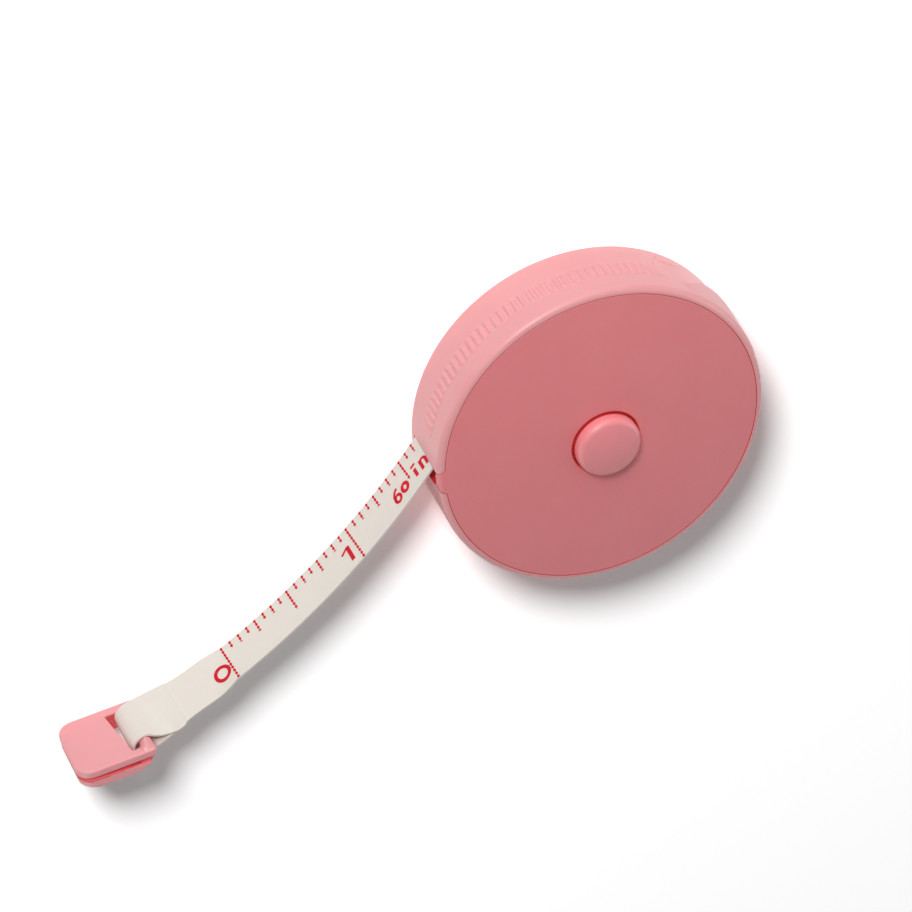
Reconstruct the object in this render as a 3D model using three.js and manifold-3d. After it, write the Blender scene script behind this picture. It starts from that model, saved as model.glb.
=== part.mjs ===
// Retractable round tape measure for sewing: a moulded case with a centre button, a sprung spool inside,
// and a coated cloth tape that ends in a moulded pull tab. Lengths are millimetres and +Z is up.
// The case lies on its flat rear face: the origin is where the spool's axis meets that face.
import * as THREE from "three";
import { mergeVertices } from "three/addons/utils/BufferGeometryUtils.js";
import Module from "manifold-3d";

const wasm = await Module();
wasm.setup();

// Case
const CASE_RADIUS = 25;
const CASE_THICKNESS = 12.6;
const WALL_THICKNESS = 1.8;
const WALL_DRAFT = 0.33; // the wall is this much narrower in radius at the rear
const FLOOR_THICKNESS = 1.2;
const REAR_EDGE_RADIUS = 1.4;
const FRONT_EDGE_RADIUS = 1.0;
const RIM_LAND = 0.1; // flat of the rim between its rounded edge and the cover's seat
const PARTING_GAP = 0.2;
const SEAT_GAP = 0.05; // between pieces that sit on each other and never move
const RUNNING_GAP = 0.3; // between pieces that move past each other
const SNAP_GROOVE_DEPTH = 0.35;
const SNAP_GROOVE_HEIGHT = 0.8;
const SNAP_GROOVE_DROP = 1.4; // from the cover's seat down to the groove
const BOOLEAN_OVERRUN = 1; // how far a cutter runs past the face that it cuts

// Grip ribs on the side wall
const RIB_PITCH_DEG = 2.8;
const RIB_FIRST_DEG = 66.9;
const RIB_LAST_DEG = 171;
const RIB_LENGTH = 3.1;
const RIB_WIDTH = 0.65;
const RIB_HEIGHT = 0.18;
const RIB_ROOT = 0.4; // how deep a rib's root sits in the wall
const RIB_CENTRE_Z = 7.25;

// Raised finger pad on the side wall
const PAD_DEG = 36;
const PAD_RADIUS_DROP = 4; // how much rounder the pad is than the wall, so that its ends fade out
const PAD_HEIGHT = 0.33;
const PAD_CENTRE_Z = 6.8;
const PAD_CREST_WIDTH = 2.8;
const PAD_LOW_SLOPE = 2.2; // the pad's flanks, along Z
const PAD_HIGH_SLOPE = 3.4;
const PAD_ROOT = 0.9; // how deep the pad's root sits in the wall

// Front cover
const COVER_THICKNESS = 1.2;
const COVER_CROWN = 1.5;
const COVER_UNDERSIDE_CROWN = 1.4;
const COVER_SEAT_WIDTH = 1.3;
const THRUST_RIB_RADIUS = 7.4;
const THRUST_RIB_WIDTH = 0.8;
const SNAP_HOOK_THICKNESS = 0.6;
const SNAP_HOOK_SPAN_DEG = 14;
const SNAP_HOOK_DEGS = [20, 105, 240, 310];
const SNAP_NOSE_DEPTH = 0.2;

// Mouth of the case
const MOUTH_LIP_GAP = 0.25; // from the tape's printed face to the lip
const MOUTH_WIDTH = 2.6; // along the wall, from the tape's middle line to the mouth's lower side
const MOUTH_FLOOR_GAP = 0.8;
const MOUTH_ROOF_GAP = 0.25; // from the tape's front edge to the cover's tongue
const TONGUE_ROOT_DEGS = [179.4, 188.9]; // the tongue's two sides where it leaves the cover's rim
const TONGUE_TIP_DEGS = [181.4, 185.9]; // and on the wall

// Button and its return spring
const BUTTON_RADIUS = 4.86;
const BUTTON_HOLE_GAP = 0.29;
const BUTTON_PROUD = 3.3; // from the rim's plane to the button's upper edge
const BUTTON_EDGE_RADIUS = 1;
const BUTTON_CROWN = 0.5;
const BUTTON_TRAVEL = 1.2;
const BUTTON_FLANGE_RADIUS = 6.2;
const BUTTON_FLANGE_THICKNESS = 0.7;
const BUTTON_SKIRT = 1.0;
const BUTTON_ROOF = 1.15;
const STEM_RADIUS = 2.2;
const STEM_COLLAR_RADIUS = 3.1;
const STEM_COLLAR_HEIGHT = 0.6;
const STEM_LENGTH_BELOW_PLATE = 1.45;
const STEM_CHAMFER = 0.3;
const BUTTON_SPRING_WIRE = 0.36;
const BUTTON_SPRING_TURNS = 5;

// Arbor, moulded with the rear shell
const ARBOR_RADIUS = 3.8;
const ARBOR_BORE_RADIUS = 2.7;
const ARBOR_KEY_WIDTH = 1.3;
const ARBOR_SPRING_SLOT = 0.9;
const ARBOR_FOOT_RADIUS = 6.8;
const ARBOR_FOOT_HEIGHT = 0.15;

// Brake
const BRAKE_PLATE_DRUM_GAP = 2.25; // from the plate's rim to the inside of the drum
const BRAKE_PLATE_THICKNESS = 0.7;
const BRAKE_PAD_THICKNESS = 0.85;
const BRAKE_PAD_WIDTH = 2.4;
const BRAKE_PAD_RIM_GAP = 0.4; // from the pads to the plate's rim
const BRAKE_PAD_SPAN_DEG = 56;
const BRAKE_PAD_COUNT = 3;
const BRAKE_KEY_ENGAGEMENT = 0.8; // how far the plate's keys reach into the arbor at rest
const STEM_FIT_GAP = 0.1;
const END_GAP = 0.15; // left between pieces at the end of the button's travel

// Spool
const SPOOL_SIDE_GAP = 1.4; // from the spool's flanges to the inside of the wall
const SPOOL_FLANGE_THICKNESS = 0.55;
const SPOOL_WALL = 1.3;
const SPOOL_BORE_GAP = 0.25;
const SPOOL_SPIGOT_HEIGHT = 0.7;
const SPOOL_SPIGOT_WIDTH = 0.9;
const SPOOL_TOP_BORE_GAP = 0.4;
const TAPE_SLIT_DEG = 40;
const TAPE_SLIT_WIDTH = 1.0;
const TAPE_SIDE_GAP = 0.2; // between the tape's edges and the spool's flanges
const WASHER_THICKNESS = 0.2;
const WASHER_BORE_GAP = 0.5;
const WASHER_RIM_GAP = 0.2;
const ANCHOR_PIN_RADIUS = 0.7;
const SPRING_PIN_RADIUS = 0.6;
const SPRING_PIN_DEG = 130;

// Power spring and the disc that covers it
const POWER_SPRING_HEIGHT = 3.3;
const POWER_SPRING_THICKNESS = 0.22;
const POWER_SPRING_ARBOR_GAP = 0.6;
const POWER_SPRING_TURNS = 7;
const POWER_SPRING_STEPS_PER_TURN = 20;
const SPRING_COVER_THICKNESS = 0.5;

// Tape
const TAPE_WIDTH = 7.5;
const TAPE_THICKNESS = 0.4;
const TAPE_BEND_RADIUS = 112.3; // of the free stretch, which bows away from the spool's winding
const ROLL_FLANGE_MARGIN = 1; // how far the spool's flanges stand out past the tape that is wound
const WINDING_DEPTH = 4.7; // of the tape that is wound
const ROLL_LEAVE_DEG = 151.7; // direction, seen from the spool's axis, in which the tape leaves the roll
const TAPE_HIDDEN_PAST_ROLL_DEG = 0.6; // on the bend, past the point where it leaves the roll
const TAPE_ZERO_DEG = 27.9; // on the bend, from where it leaves the roll to the zero line
const TAPE_STRAIGHT_LENGTH = 16; // straight stretch from the zero line to below the tab's bar
const TAPE_ARC_STEPS = 30;
const TAIL_PARTING_DISTANCE = 4.2; // before the bar, where the folded end comes down on the tape
const TAIL_WELD_LENGTH = 2.4;
const TAIL_WELD_DEPTH = 0.05;
const TAIL_FLARE_WIDTH = 0.5; // how far the folded end stands out past the tape's front edge
const LOOP_STEPS = 12;

// Pull tab
const TAB_BAR_RADIUS = 0.95;
const TAB_REST_DEG = 9.2;
const TAB_LENGTH = 10.8; // from the bar's axis to the outer end
const TAB_TOE = 1.15; // from the bar's axis to the arms' ends
const TAB_WIDTH = 12;
const TAB_CORNER_RADIUS = 2.4;
const TAB_TOE_RADIUS = 0.7;
const TAB_TOP_FACE = 0.35; // from the bar's axis up to the top plate's face
const TAB_TOP_THICKNESS = 1.6;
const TAB_EDGE_RADIUS = 0.45;
const TAB_GROOVE = 0.4;
const TAB_BASE_THICKNESS = 1.2;
const TAB_BASE_INSET = 0.25;
const TAB_CORE_INSET = 1.5;
const TAB_SLOT_SIDE_GAP = 0.75; // from the tape's edges to the tab's arms
const TAB_ARM_RADIUS = 1.2;
const TAB_ARM_RISE = 0.1; // of the arms' rounded ends over the bar's axis
const TAB_BASE_TOE = 0.6; // from the bar's axis to the end of the base
const TAB_SLOT_LENGTH = 3.1; // from the bar's axis to the slot's far edge
const TAB_PEG_RADIUS = 0.7;
const TAB_PEG_LENGTH = 0.9;
const TAB_PEG_GAP = 0.1;

// Facets round a full turn
const CASE_SEGMENTS = 60;
const DISC_SEGMENTS = 36;
const SMALL_SEGMENTS = 20;
const EDGE_STEPS = 3;
const CROWN_STEPS = 5;

// Places worked out from the sizes above
const TAPE_LOW_Z = (CASE_THICKNESS - TAPE_WIDTH) / 2;
const TAPE_HIGH_Z = TAPE_LOW_Z + TAPE_WIDTH;
const coverSeatRadius = CASE_RADIUS - FRONT_EDGE_RADIUS - RIM_LAND;
const coverRadius = coverSeatRadius - PARTING_GAP;
const coverSeatInner = coverRadius - COVER_SEAT_WIDTH;
const coverSeatZ = CASE_THICKNESS - COVER_THICKNESS;
const tongueInnerRadius = coverRadius - COVER_SEAT_WIDTH / 2;
const wallInnerRadius = CASE_RADIUS - WALL_THICKNESS;
const rearRadius = CASE_RADIUS - WALL_DRAFT;
const padRadius = CASE_RADIUS - PAD_RADIUS_DROP;
const spoolLowZ = TAPE_LOW_Z - TAPE_SIDE_GAP - SPOOL_FLANGE_THICKNESS;
const spoolWebTopZ = TAPE_LOW_Z - TAPE_SIDE_GAP;
const spoolTopFlangeZ = TAPE_HIGH_Z + TAPE_SIDE_GAP;
const spoolBoreRadius = ARBOR_RADIUS + SPOOL_BORE_GAP;
const spoolTopBoreRadius = BUTTON_FLANGE_RADIUS + SPOOL_TOP_BORE_GAP;
const spoolFlangeRadius = wallInnerRadius - SPOOL_SIDE_GAP;
const rollOuterRadius = spoolFlangeRadius - ROLL_FLANGE_MARGIN; // where the free stretch leaves the roll
const rollHeldRadius = rollOuterRadius - TAPE_THICKNESS / 2 - RUNNING_GAP;
const rollInnerRadius = rollHeldRadius - WINDING_DEPTH;
const drumOuterRadius = rollInnerRadius - SEAT_GAP;
const drumInnerRadius = drumOuterRadius - SPOOL_WALL;
const brakePlateRadius = drumInnerRadius - BRAKE_PLATE_DRUM_GAP;
const brakePadOuter = brakePlateRadius - BRAKE_PAD_RIM_GAP;
const padTopZ = spoolTopFlangeZ - RUNNING_GAP;
const plateTopZ = padTopZ - BRAKE_PAD_THICKNESS - SEAT_GAP;
const plateLowZ = plateTopZ - BRAKE_PLATE_THICKNESS;
const arborTopZ = plateLowZ - BUTTON_TRAVEL - END_GAP;
const brakeKeyLowZ = arborTopZ - BRAKE_KEY_ENGAGEMENT;
const arborKeyLowZ = brakeKeyLowZ - BUTTON_TRAVEL - END_GAP;
const stemLowZ = plateLowZ - STEM_LENGTH_BELOW_PLATE;
const powerSpringLowZ = spoolWebTopZ + RUNNING_GAP;
const powerSpringHighZ = powerSpringLowZ + POWER_SPRING_HEIGHT;
const springCoverZ = powerSpringHighZ + RUNNING_GAP;
const loopRadius = TAB_BAR_RADIUS + RUNNING_GAP + TAPE_THICKNESS / 2; // of the tape's middle round the bar
const bendCentre = polar(rollOuterRadius + TAPE_BEND_RADIUS, ROLL_LEAVE_DEG);
const bendLeaveDeg = ROLL_LEAVE_DEG + 180; // direction of the leaving point, seen from the bend's centre
const zeroPoint = bendPoint(TAPE_ZERO_DEG);
const printedSide = new THREE.Vector2().subVectors(bendCentre, zeroPoint).normalize();
const outwards = new THREE.Vector2(-printedSide.y, printedSide.x); // along the tape, away from the case
const underBar = zeroPoint.clone().addScaledVector(outwards, TAPE_STRAIGHT_LENGTH);
const barCentre = underBar.clone().addScaledVector(printedSide, loopRadius);
const tabSlotHalfWidth = TAPE_WIDTH / 2 + TAB_SLOT_SIDE_GAP;
const tabTopLowY = TAB_TOP_FACE - TAB_TOP_THICKNESS;
const tabBaseTopY = tabTopLowY - TAB_GROOVE;

// Colours and finishes
const pinkAbs = { color: 0xd98387, roughness: 0.42, metalness: 0 };
const buttonAbs = { color: 0xdc878b, roughness: 0.38, metalness: 0 };
const tabAbs = { color: 0xefa3a7, roughness: 0.45, metalness: 0 };
const whiteAcetal = { color: 0xe9e6df, roughness: 0.5, metalness: 0 };
const coatedCloth = { color: 0xe6ded4, roughness: 0.8, metalness: 0 };
const springSteel = { color: 0x8d9095, roughness: 0.35, metalness: 1 };
const padRubber = { color: 0x2d2c2b, roughness: 0.9, metalness: 0 };
const washerFilm = { color: 0xd8dcdf, roughness: 0.3, metalness: 0 };

// A point in the XY plane at a distance and a direction from the spool's axis.
function polar(radius, degrees) {
  const angle = THREE.MathUtils.degToRad(degrees);
  return new THREE.Vector2(radius * Math.cos(angle), radius * Math.sin(angle));
}

// A geometry with its shared vertices merged, as a solid for joining and cutting.
function solid(geometry) {
  const bare = geometry.index ? geometry.toNonIndexed() : geometry.clone();
  for (const name of Object.keys(bare.attributes)) if (name !== "position") bare.deleteAttribute(name);
  const merged = mergeVertices(bare, 1e-4);
  return new wasm.Manifold(
    new wasm.Mesh({
      numProp: 3,
      vertProperties: merged.attributes.position.array,
      triVerts: new Uint32Array(merged.index.array),
    }),
  );
}

// A solid as a geometry again.
function geometryOf(body) {
  const mesh = body.getMesh();
  return new THREE.BufferGeometry()
    .setAttribute("position", new THREE.BufferAttribute(new Float32Array(mesh.vertProperties), 3))
    .setIndex(new THREE.BufferAttribute(new Uint32Array(mesh.triVerts), 1));
}

// A solid turned round the Z axis from a profile of [radius, z] points that run upwards on the outside.
function turned(profile, segments) {
  const points = profile.map(([radius, z]) => new THREE.Vector2(radius, z));
  const closes = points[0].x === 0 && points[points.length - 1].x === 0;
  if (!closes) points.push(points[0].clone());
  return solid(new THREE.LatheGeometry(points, segments).rotateX(Math.PI / 2));
}

// A plain ring or disc turned round the Z axis.
function ring(inner, outer, lowZ, highZ, segments) {
  return turned([[inner, lowZ], [outer, lowZ], [outer, highZ], [inner, highZ]], segments);
}

// An upright prism over an outline in the XY plane.
function prism(outline, lowZ, highZ, holes = []) {
  const shape = new THREE.Shape(outline);
  shape.holes = holes.map((hole) => new THREE.Path(hole));
  const made = new THREE.ExtrudeGeometry(shape, {
    depth: highZ - lowZ,
    bevelEnabled: false,
    curveSegments: 1,
  });
  return solid(made.translate(0, 0, lowZ));
}

// An upright rod at a point.
function rod(centre, radius, lowZ, highZ, segments = SMALL_SEGMENTS) {
  const made = new THREE.CylinderGeometry(radius, radius, highZ - lowZ, segments).rotateX(Math.PI / 2);
  return solid(made.translate(centre.x, centre.y, (lowZ + highZ) / 2));
}

// A block between two corners.
function block(low, high) {
  const size = new THREE.Vector3().subVectors(high, low);
  const made = new THREE.BoxGeometry(size.x, size.y, size.z);
  return solid(made.translate((low.x + high.x) / 2, (low.y + high.y) / 2, (low.z + high.z) / 2));
}

// Points of a quarter-like arc in a profile, from one direction to another about a centre.
function arcPoints(centreX, centreY, radius, fromDeg, toDeg, steps = EDGE_STEPS) {
  return Array.from({ length: steps + 1 }, (_, i) => {
    const angle = THREE.MathUtils.degToRad(fromDeg + ((toDeg - fromDeg) * i) / steps);
    return [centreX + radius * Math.cos(angle), centreY + radius * Math.sin(angle)];
  });
}

// A point on the tape's bend at a distance from its middle line, by the angle from where it leaves the roll.
function bendPoint(degrees, offset = 0) {
  const angle = THREE.MathUtils.degToRad(bendLeaveDeg - degrees);
  const radius = TAPE_BEND_RADIUS + offset;
  return new THREE.Vector2(bendCentre.x + radius * Math.cos(angle), bendCentre.y + radius * Math.sin(angle));
}

// How far along the bend, in degrees from where it leaves the roll, it reaches a distance from the axis.
function bendReach(radius, offset = 0) {
  const bend = TAPE_BEND_RADIUS + offset;
  const centres = rollOuterRadius + TAPE_BEND_RADIUS;
  const cosine = (centres ** 2 + bend ** 2 - radius ** 2) / (2 * centres * bend);
  return THREE.MathUtils.radToDeg(Math.acos(cosine));
}

// The height of the crowned cover's outer face at a distance from the axis.
function crownZ(radius) {
  return CASE_THICKNESS + COVER_CROWN * (1 - (radius / coverRadius) ** 2);
}

// The height of the cover's underside at a distance from the axis.
function undersideZ(radius) {
  return coverSeatZ + COVER_UNDERSIDE_CROWN * (1 - (radius / coverSeatInner) ** 2);
}

// The outline of the mouth in the XY plane, from the lip over the tape's print to the lower side.
function mouthOutline() {
  const innerRadius = wallInnerRadius - BOOLEAN_OVERRUN;
  const outerRadius = CASE_RADIUS + BOOLEAN_OVERRUN;
  const lipOffset = -TAPE_THICKNESS / 2 - MOUTH_LIP_GAP;
  const lip = [innerRadius, CASE_RADIUS, outerRadius].map((radius) =>
    bendPoint(bendReach(radius, lipOffset), lipOffset),
  );
  const crossing = bendPoint(bendReach(CASE_RADIUS));
  const lowerDeg = THREE.MathUtils.radToDeg(crossing.angle() + MOUTH_WIDTH / CASE_RADIUS);
  return [...lip, polar(outerRadius, lowerDeg), polar(innerRadius, lowerDeg)];
}

// The outline of the tongue in the XY plane, grown by a margin all round.
function tongueOutline(margin) {
  const spread = THREE.MathUtils.radToDeg(margin / CASE_RADIUS);
  const innerRadius = tongueInnerRadius - margin;
  const outerRadius = CASE_RADIUS + BOOLEAN_OVERRUN;
  const [rootUpper, rootLower] = TONGUE_ROOT_DEGS;
  const [tipUpper, tipLower] = TONGUE_TIP_DEGS;
  return [
    polar(innerRadius, rootUpper - spread),
    polar(coverRadius, rootUpper - spread),
    polar(CASE_RADIUS, tipUpper - spread),
    polar(outerRadius, tipUpper - spread),
    polar(outerRadius, tipLower + spread),
    polar(CASE_RADIUS, tipLower + spread),
    polar(coverRadius, rootLower + spread),
    polar(innerRadius, rootLower + spread),
  ];
}

// The radius of the drafted side wall at a height.
function wallRadius(z) {
  return CASE_RADIUS - (WALL_DRAFT * (CASE_THICKNESS - z)) / CASE_THICKNESS;
}

// The rounded front edge of the case, from the wall to the rim's land.
function frontEdge() {
  const across = CASE_RADIUS - FRONT_EDGE_RADIUS;
  const up = CASE_THICKNESS - FRONT_EDGE_RADIUS;
  return arcPoints(across, up, FRONT_EDGE_RADIUS, 0, 90);
}

// The rounded outer profile of the case, from the rear face to the rim's land.
function wallProfile() {
  const across = rearRadius - REAR_EDGE_RADIUS;
  return [...arcPoints(across, REAR_EDGE_RADIUS, REAR_EDGE_RADIUS, -90, 0), ...frontEdge()];
}

// One grip rib as a prism with sloping flanks, lying along +X on the wall.
function ribSolid() {
  const face = wallRadius(RIB_CENTRE_Z);
  const half = RIB_WIDTH / 2;
  const outline = [
    new THREE.Vector2(face - RIB_ROOT, -half),
    new THREE.Vector2(face, -half),
    new THREE.Vector2(face + RIB_HEIGHT, -half / 2),
    new THREE.Vector2(face + RIB_HEIGHT, half / 2),
    new THREE.Vector2(face, half),
    new THREE.Vector2(face - RIB_ROOT, half),
  ];
  return prism(outline, RIB_CENTRE_Z - RIB_LENGTH / 2, RIB_CENTRE_Z + RIB_LENGTH / 2);
}

function rearShell() {
  const grooveTop = coverSeatZ - SNAP_GROOVE_DROP;
  const footTop = FLOOR_THICKNESS + ARBOR_FOOT_HEIGHT;
  let body = turned(
    [
      [0, 0],
      ...wallProfile(),
      [coverSeatRadius, CASE_THICKNESS],
      [coverSeatRadius, coverSeatZ],
      [wallInnerRadius, coverSeatZ],
      [wallInnerRadius, grooveTop],
      [wallInnerRadius + SNAP_GROOVE_DEPTH, grooveTop],
      [wallInnerRadius + SNAP_GROOVE_DEPTH, grooveTop - SNAP_GROOVE_HEIGHT],
      [wallInnerRadius, grooveTop - SNAP_GROOVE_HEIGHT],
      [wallInnerRadius, FLOOR_THICKNESS],
      [ARBOR_FOOT_RADIUS, FLOOR_THICKNESS],
      [ARBOR_FOOT_RADIUS, footTop],
      [ARBOR_RADIUS, footTop],
      [ARBOR_RADIUS, arborTopZ],
      [ARBOR_BORE_RADIUS, arborTopZ],
      [ARBOR_BORE_RADIUS, FLOOR_THICKNESS],
      [0, FLOOR_THICKNESS],
    ],
    CASE_SEGMENTS,
  );
  const rib = ribSolid();
  for (let degrees = RIB_FIRST_DEG; degrees <= RIB_LAST_DEG; degrees += RIB_PITCH_DEG) {
    body = body.add(rib.rotate([0, 0, degrees]));
  }
  const mouthFloor = TAPE_LOW_Z - MOUTH_FLOOR_GAP;
  const tongueLow = TAPE_HIGH_Z + MOUTH_ROOF_GAP;
  body = body.subtract(prism(mouthOutline(), mouthFloor, tongueLow));
  const notch = tongueOutline(PARTING_GAP);
  body = body.subtract(prism(notch, tongueLow - PARTING_GAP, CASE_THICKNESS + BOOLEAN_OVERRUN));
  const keyHalf = ARBOR_KEY_WIDTH / 2;
  const keyReach = ARBOR_RADIUS + BOOLEAN_OVERRUN;
  body = body.subtract(
    block(
      new THREE.Vector3(-keyReach, -keyHalf, arborKeyLowZ),
      new THREE.Vector3(keyReach, keyHalf, arborTopZ + BOOLEAN_OVERRUN),
    ),
  );
  const slotHalf = ARBOR_SPRING_SLOT / 2;
  body = body.subtract(
    block(
      new THREE.Vector3(-slotHalf, 0, powerSpringLowZ - RUNNING_GAP / 2),
      new THREE.Vector3(slotHalf, keyReach, powerSpringHighZ + RUNNING_GAP / 2),
    ),
  );
  return body.add(fingerPad());
}

// A slice of a rounder disc that stands out of the wall on one side and slopes back into it all round.
function fingerPad() {
  const crestLow = PAD_CENTRE_Z - PAD_CREST_WIDTH / 2;
  const crestHigh = PAD_CENTRE_Z + PAD_CREST_WIDTH / 2;
  const low = crestLow - PAD_LOW_SLOPE;
  const high = crestHigh + PAD_HIGH_SLOPE;
  const radiusAt = (z) => padRadius - CASE_RADIUS + wallRadius(z);
  const shape = turned(
    [
      [0, low],
      [radiusAt(low) - PAD_HEIGHT, low],
      [radiusAt(crestLow), crestLow],
      [radiusAt(crestHigh), crestHigh],
      [radiusAt(high) - PAD_HEIGHT, high],
      [0, high],
    ],
    CASE_SEGMENTS,
  );
  const shifted = shape.translate([CASE_RADIUS + PAD_HEIGHT - padRadius, 0, 0]).rotate([0, 0, PAD_DEG]);
  const outer = CASE_RADIUS + BOOLEAN_OVERRUN;
  return shifted.intersect(ring(CASE_RADIUS - PAD_ROOT, outer, low, high, CASE_SEGMENTS));
}

function frontCover() {
  const holeRadius = BUTTON_RADIUS + BUTTON_HOLE_GAP;
  const between = (from, to, i) => from + ((to - from) * i) / CROWN_STEPS;
  const top = Array.from({ length: CROWN_STEPS + 1 }, (_, i) => {
    const radius = between(coverRadius, holeRadius, i);
    return [radius, crownZ(radius)];
  });
  const under = Array.from({ length: CROWN_STEPS + 1 }, (_, i) => {
    const radius = between(holeRadius, coverSeatInner, i);
    return [radius, undersideZ(radius) + SEAT_GAP];
  });
  let body = turned([[coverRadius, coverSeatZ + SEAT_GAP], ...top, ...under], CASE_SEGMENTS);
  body = body.add(
    ring(
      THRUST_RIB_RADIUS,
      THRUST_RIB_RADIUS + THRUST_RIB_WIDTH,
      spoolTopFlangeZ + SPOOL_FLANGE_THICKNESS + RUNNING_GAP,
      undersideZ(THRUST_RIB_RADIUS) + 2 * SEAT_GAP,
      DISC_SEGMENTS,
    ),
  );
  // The tongue that closes the mouth follows the rim's rounded edge.
  const tongueLow = TAPE_HIGH_Z + MOUTH_ROOF_GAP;
  const tongueWall = turned(
    [
      [tongueInnerRadius, tongueLow],
      [CASE_RADIUS, tongueLow],
      ...frontEdge(),
      [tongueInnerRadius, CASE_THICKNESS],
    ],
    CASE_SEGMENTS,
  );
  const tongueShape = prism(tongueOutline(0), 0, CASE_THICKNESS + BOOLEAN_OVERRUN);
  body = body.add(tongueWall.intersect(tongueShape));
  const hookOuter = wallInnerRadius - PARTING_GAP;
  const hookInner = hookOuter - SNAP_HOOK_THICKNESS;
  const grooveTop = coverSeatZ - SNAP_GROOVE_DROP;
  const noseHeight = SNAP_GROOVE_HEIGHT / 2;
  const hookLow = grooveTop - noseHeight - SEAT_GAP;
  const hook = turned(
    [
      [hookInner, hookLow],
      [hookOuter, hookLow],
      [hookOuter + SNAP_NOSE_DEPTH + PARTING_GAP, hookLow + noseHeight / 2],
      [hookOuter + SNAP_NOSE_DEPTH + PARTING_GAP, hookLow + noseHeight],
      [hookOuter, hookLow + noseHeight],
      [hookOuter, coverSeatZ + COVER_THICKNESS / 2],
      [hookInner, coverSeatZ + COVER_THICKNESS / 2],
    ],
    CASE_SEGMENTS,
  );
  const span = THREE.MathUtils.degToRad(SNAP_HOOK_SPAN_DEG / 2);
  const reach = CASE_RADIUS;
  const wedge = [
    new THREE.Vector2(0, 0),
    new THREE.Vector2(reach * Math.cos(span), -reach * Math.sin(span)),
    new THREE.Vector2(reach * Math.cos(span), reach * Math.sin(span)),
  ];
  for (const degrees of SNAP_HOOK_DEGS) {
    body = body.add(hook.intersect(prism(wedge, hookLow, CASE_THICKNESS).rotate([0, 0, degrees])));
  }
  return body;
}

function pushButton() {
  const edgeZ = CASE_THICKNESS + BUTTON_PROUD;
  const flangeTop = undersideZ(BUTTON_FLANGE_RADIUS) - RUNNING_GAP;
  const flangeLow = flangeTop - BUTTON_FLANGE_THICKNESS;
  const roofZ = edgeZ - BUTTON_ROOF;
  const flatRadius = BUTTON_RADIUS - BUTTON_EDGE_RADIUS;
  const dome = Array.from({ length: EDGE_STEPS }, (_, i) => {
    const radius = flatRadius * (1 - (i + 1) / EDGE_STEPS);
    return [radius, edgeZ + BUTTON_CROWN * (1 - (radius / flatRadius) ** 2)];
  });
  return turned(
    [
      [0, stemLowZ],
      [STEM_RADIUS - STEM_CHAMFER, stemLowZ],
      [STEM_RADIUS, stemLowZ + STEM_CHAMFER],
      [STEM_RADIUS, plateTopZ + SEAT_GAP],
      [STEM_COLLAR_RADIUS, plateTopZ + SEAT_GAP],
      [STEM_COLLAR_RADIUS, plateTopZ + SEAT_GAP + STEM_COLLAR_HEIGHT],
      [STEM_RADIUS, plateTopZ + SEAT_GAP + STEM_COLLAR_HEIGHT],
      [STEM_RADIUS, roofZ],
      [BUTTON_RADIUS - BUTTON_SKIRT, roofZ],
      [BUTTON_RADIUS - BUTTON_SKIRT, flangeLow],
      [BUTTON_FLANGE_RADIUS, flangeLow],
      [BUTTON_FLANGE_RADIUS, flangeTop],
      [BUTTON_RADIUS, flangeTop],
      ...arcPoints(flatRadius, edgeZ - BUTTON_EDGE_RADIUS, BUTTON_EDGE_RADIUS, 0, 90),
      ...dome,
    ],
    DISC_SEGMENTS,
  );
}

// A round wire wound into a coil spring between two heights.
function coilSpring(radius, wire, turns, lowZ, highZ) {
  const stepsPerTurn = 8;
  const sides = 5;
  const rings = turns * stepsPerTurn;
  const positions = [];
  const rise = (highZ - lowZ - wire) / rings;
  for (let i = 0; i <= rings; i += 1) {
    const angle = (2 * Math.PI * i) / stepsPerTurn;
    const z = lowZ + wire / 2 + rise * i;
    for (let s = 0; s < sides; s += 1) {
      const round = (2 * Math.PI * s) / sides;
      const reach = radius + (wire / 2) * Math.cos(round);
      positions.push(reach * Math.cos(angle), reach * Math.sin(angle), z + (wire / 2) * Math.sin(round));
    }
  }
  return sweptSolid(positions, rings, sides);
}

// A closed tube over rings of points, each ring with the same number of sides.
function sweptSolid(positions, rings, sides) {
  const index = [];
  for (let i = 0; i < rings; i += 1) {
    for (let s = 0; s < sides; s += 1) {
      const a = i * sides + s;
      const b = i * sides + ((s + 1) % sides);
      index.push(a, a + sides, b, b, a + sides, b + sides);
    }
  }
  const last = rings * sides;
  for (let s = 1; s < sides - 1; s += 1) {
    index.push(0, s, s + 1);
    index.push(last, last + s + 1, last + s);
  }
  const made = new THREE.BufferGeometry()
    .setAttribute("position", new THREE.BufferAttribute(new Float32Array(positions), 3))
    .setIndex(index);
  const body = solid(made);
  return body.volume() < 0 ? solid(flipped(made)) : body;
}

// A geometry with each face turned round.
function flipped(geometry) {
  const index = geometry.index.array;
  const turnedIndex = [];
  for (let i = 0; i < index.length; i += 3) turnedIndex.push(index[i], index[i + 2], index[i + 1]);
  return geometry.clone().setIndex(turnedIndex);
}

function buttonSpring() {
  const radius = STEM_RADIUS - STEM_CHAMFER - BUTTON_SPRING_WIRE / 2;
  const low = FLOOR_THICKNESS + SEAT_GAP;
  return coilSpring(radius, BUTTON_SPRING_WIRE, BUTTON_SPRING_TURNS, low, stemLowZ - SEAT_GAP);
}

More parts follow.
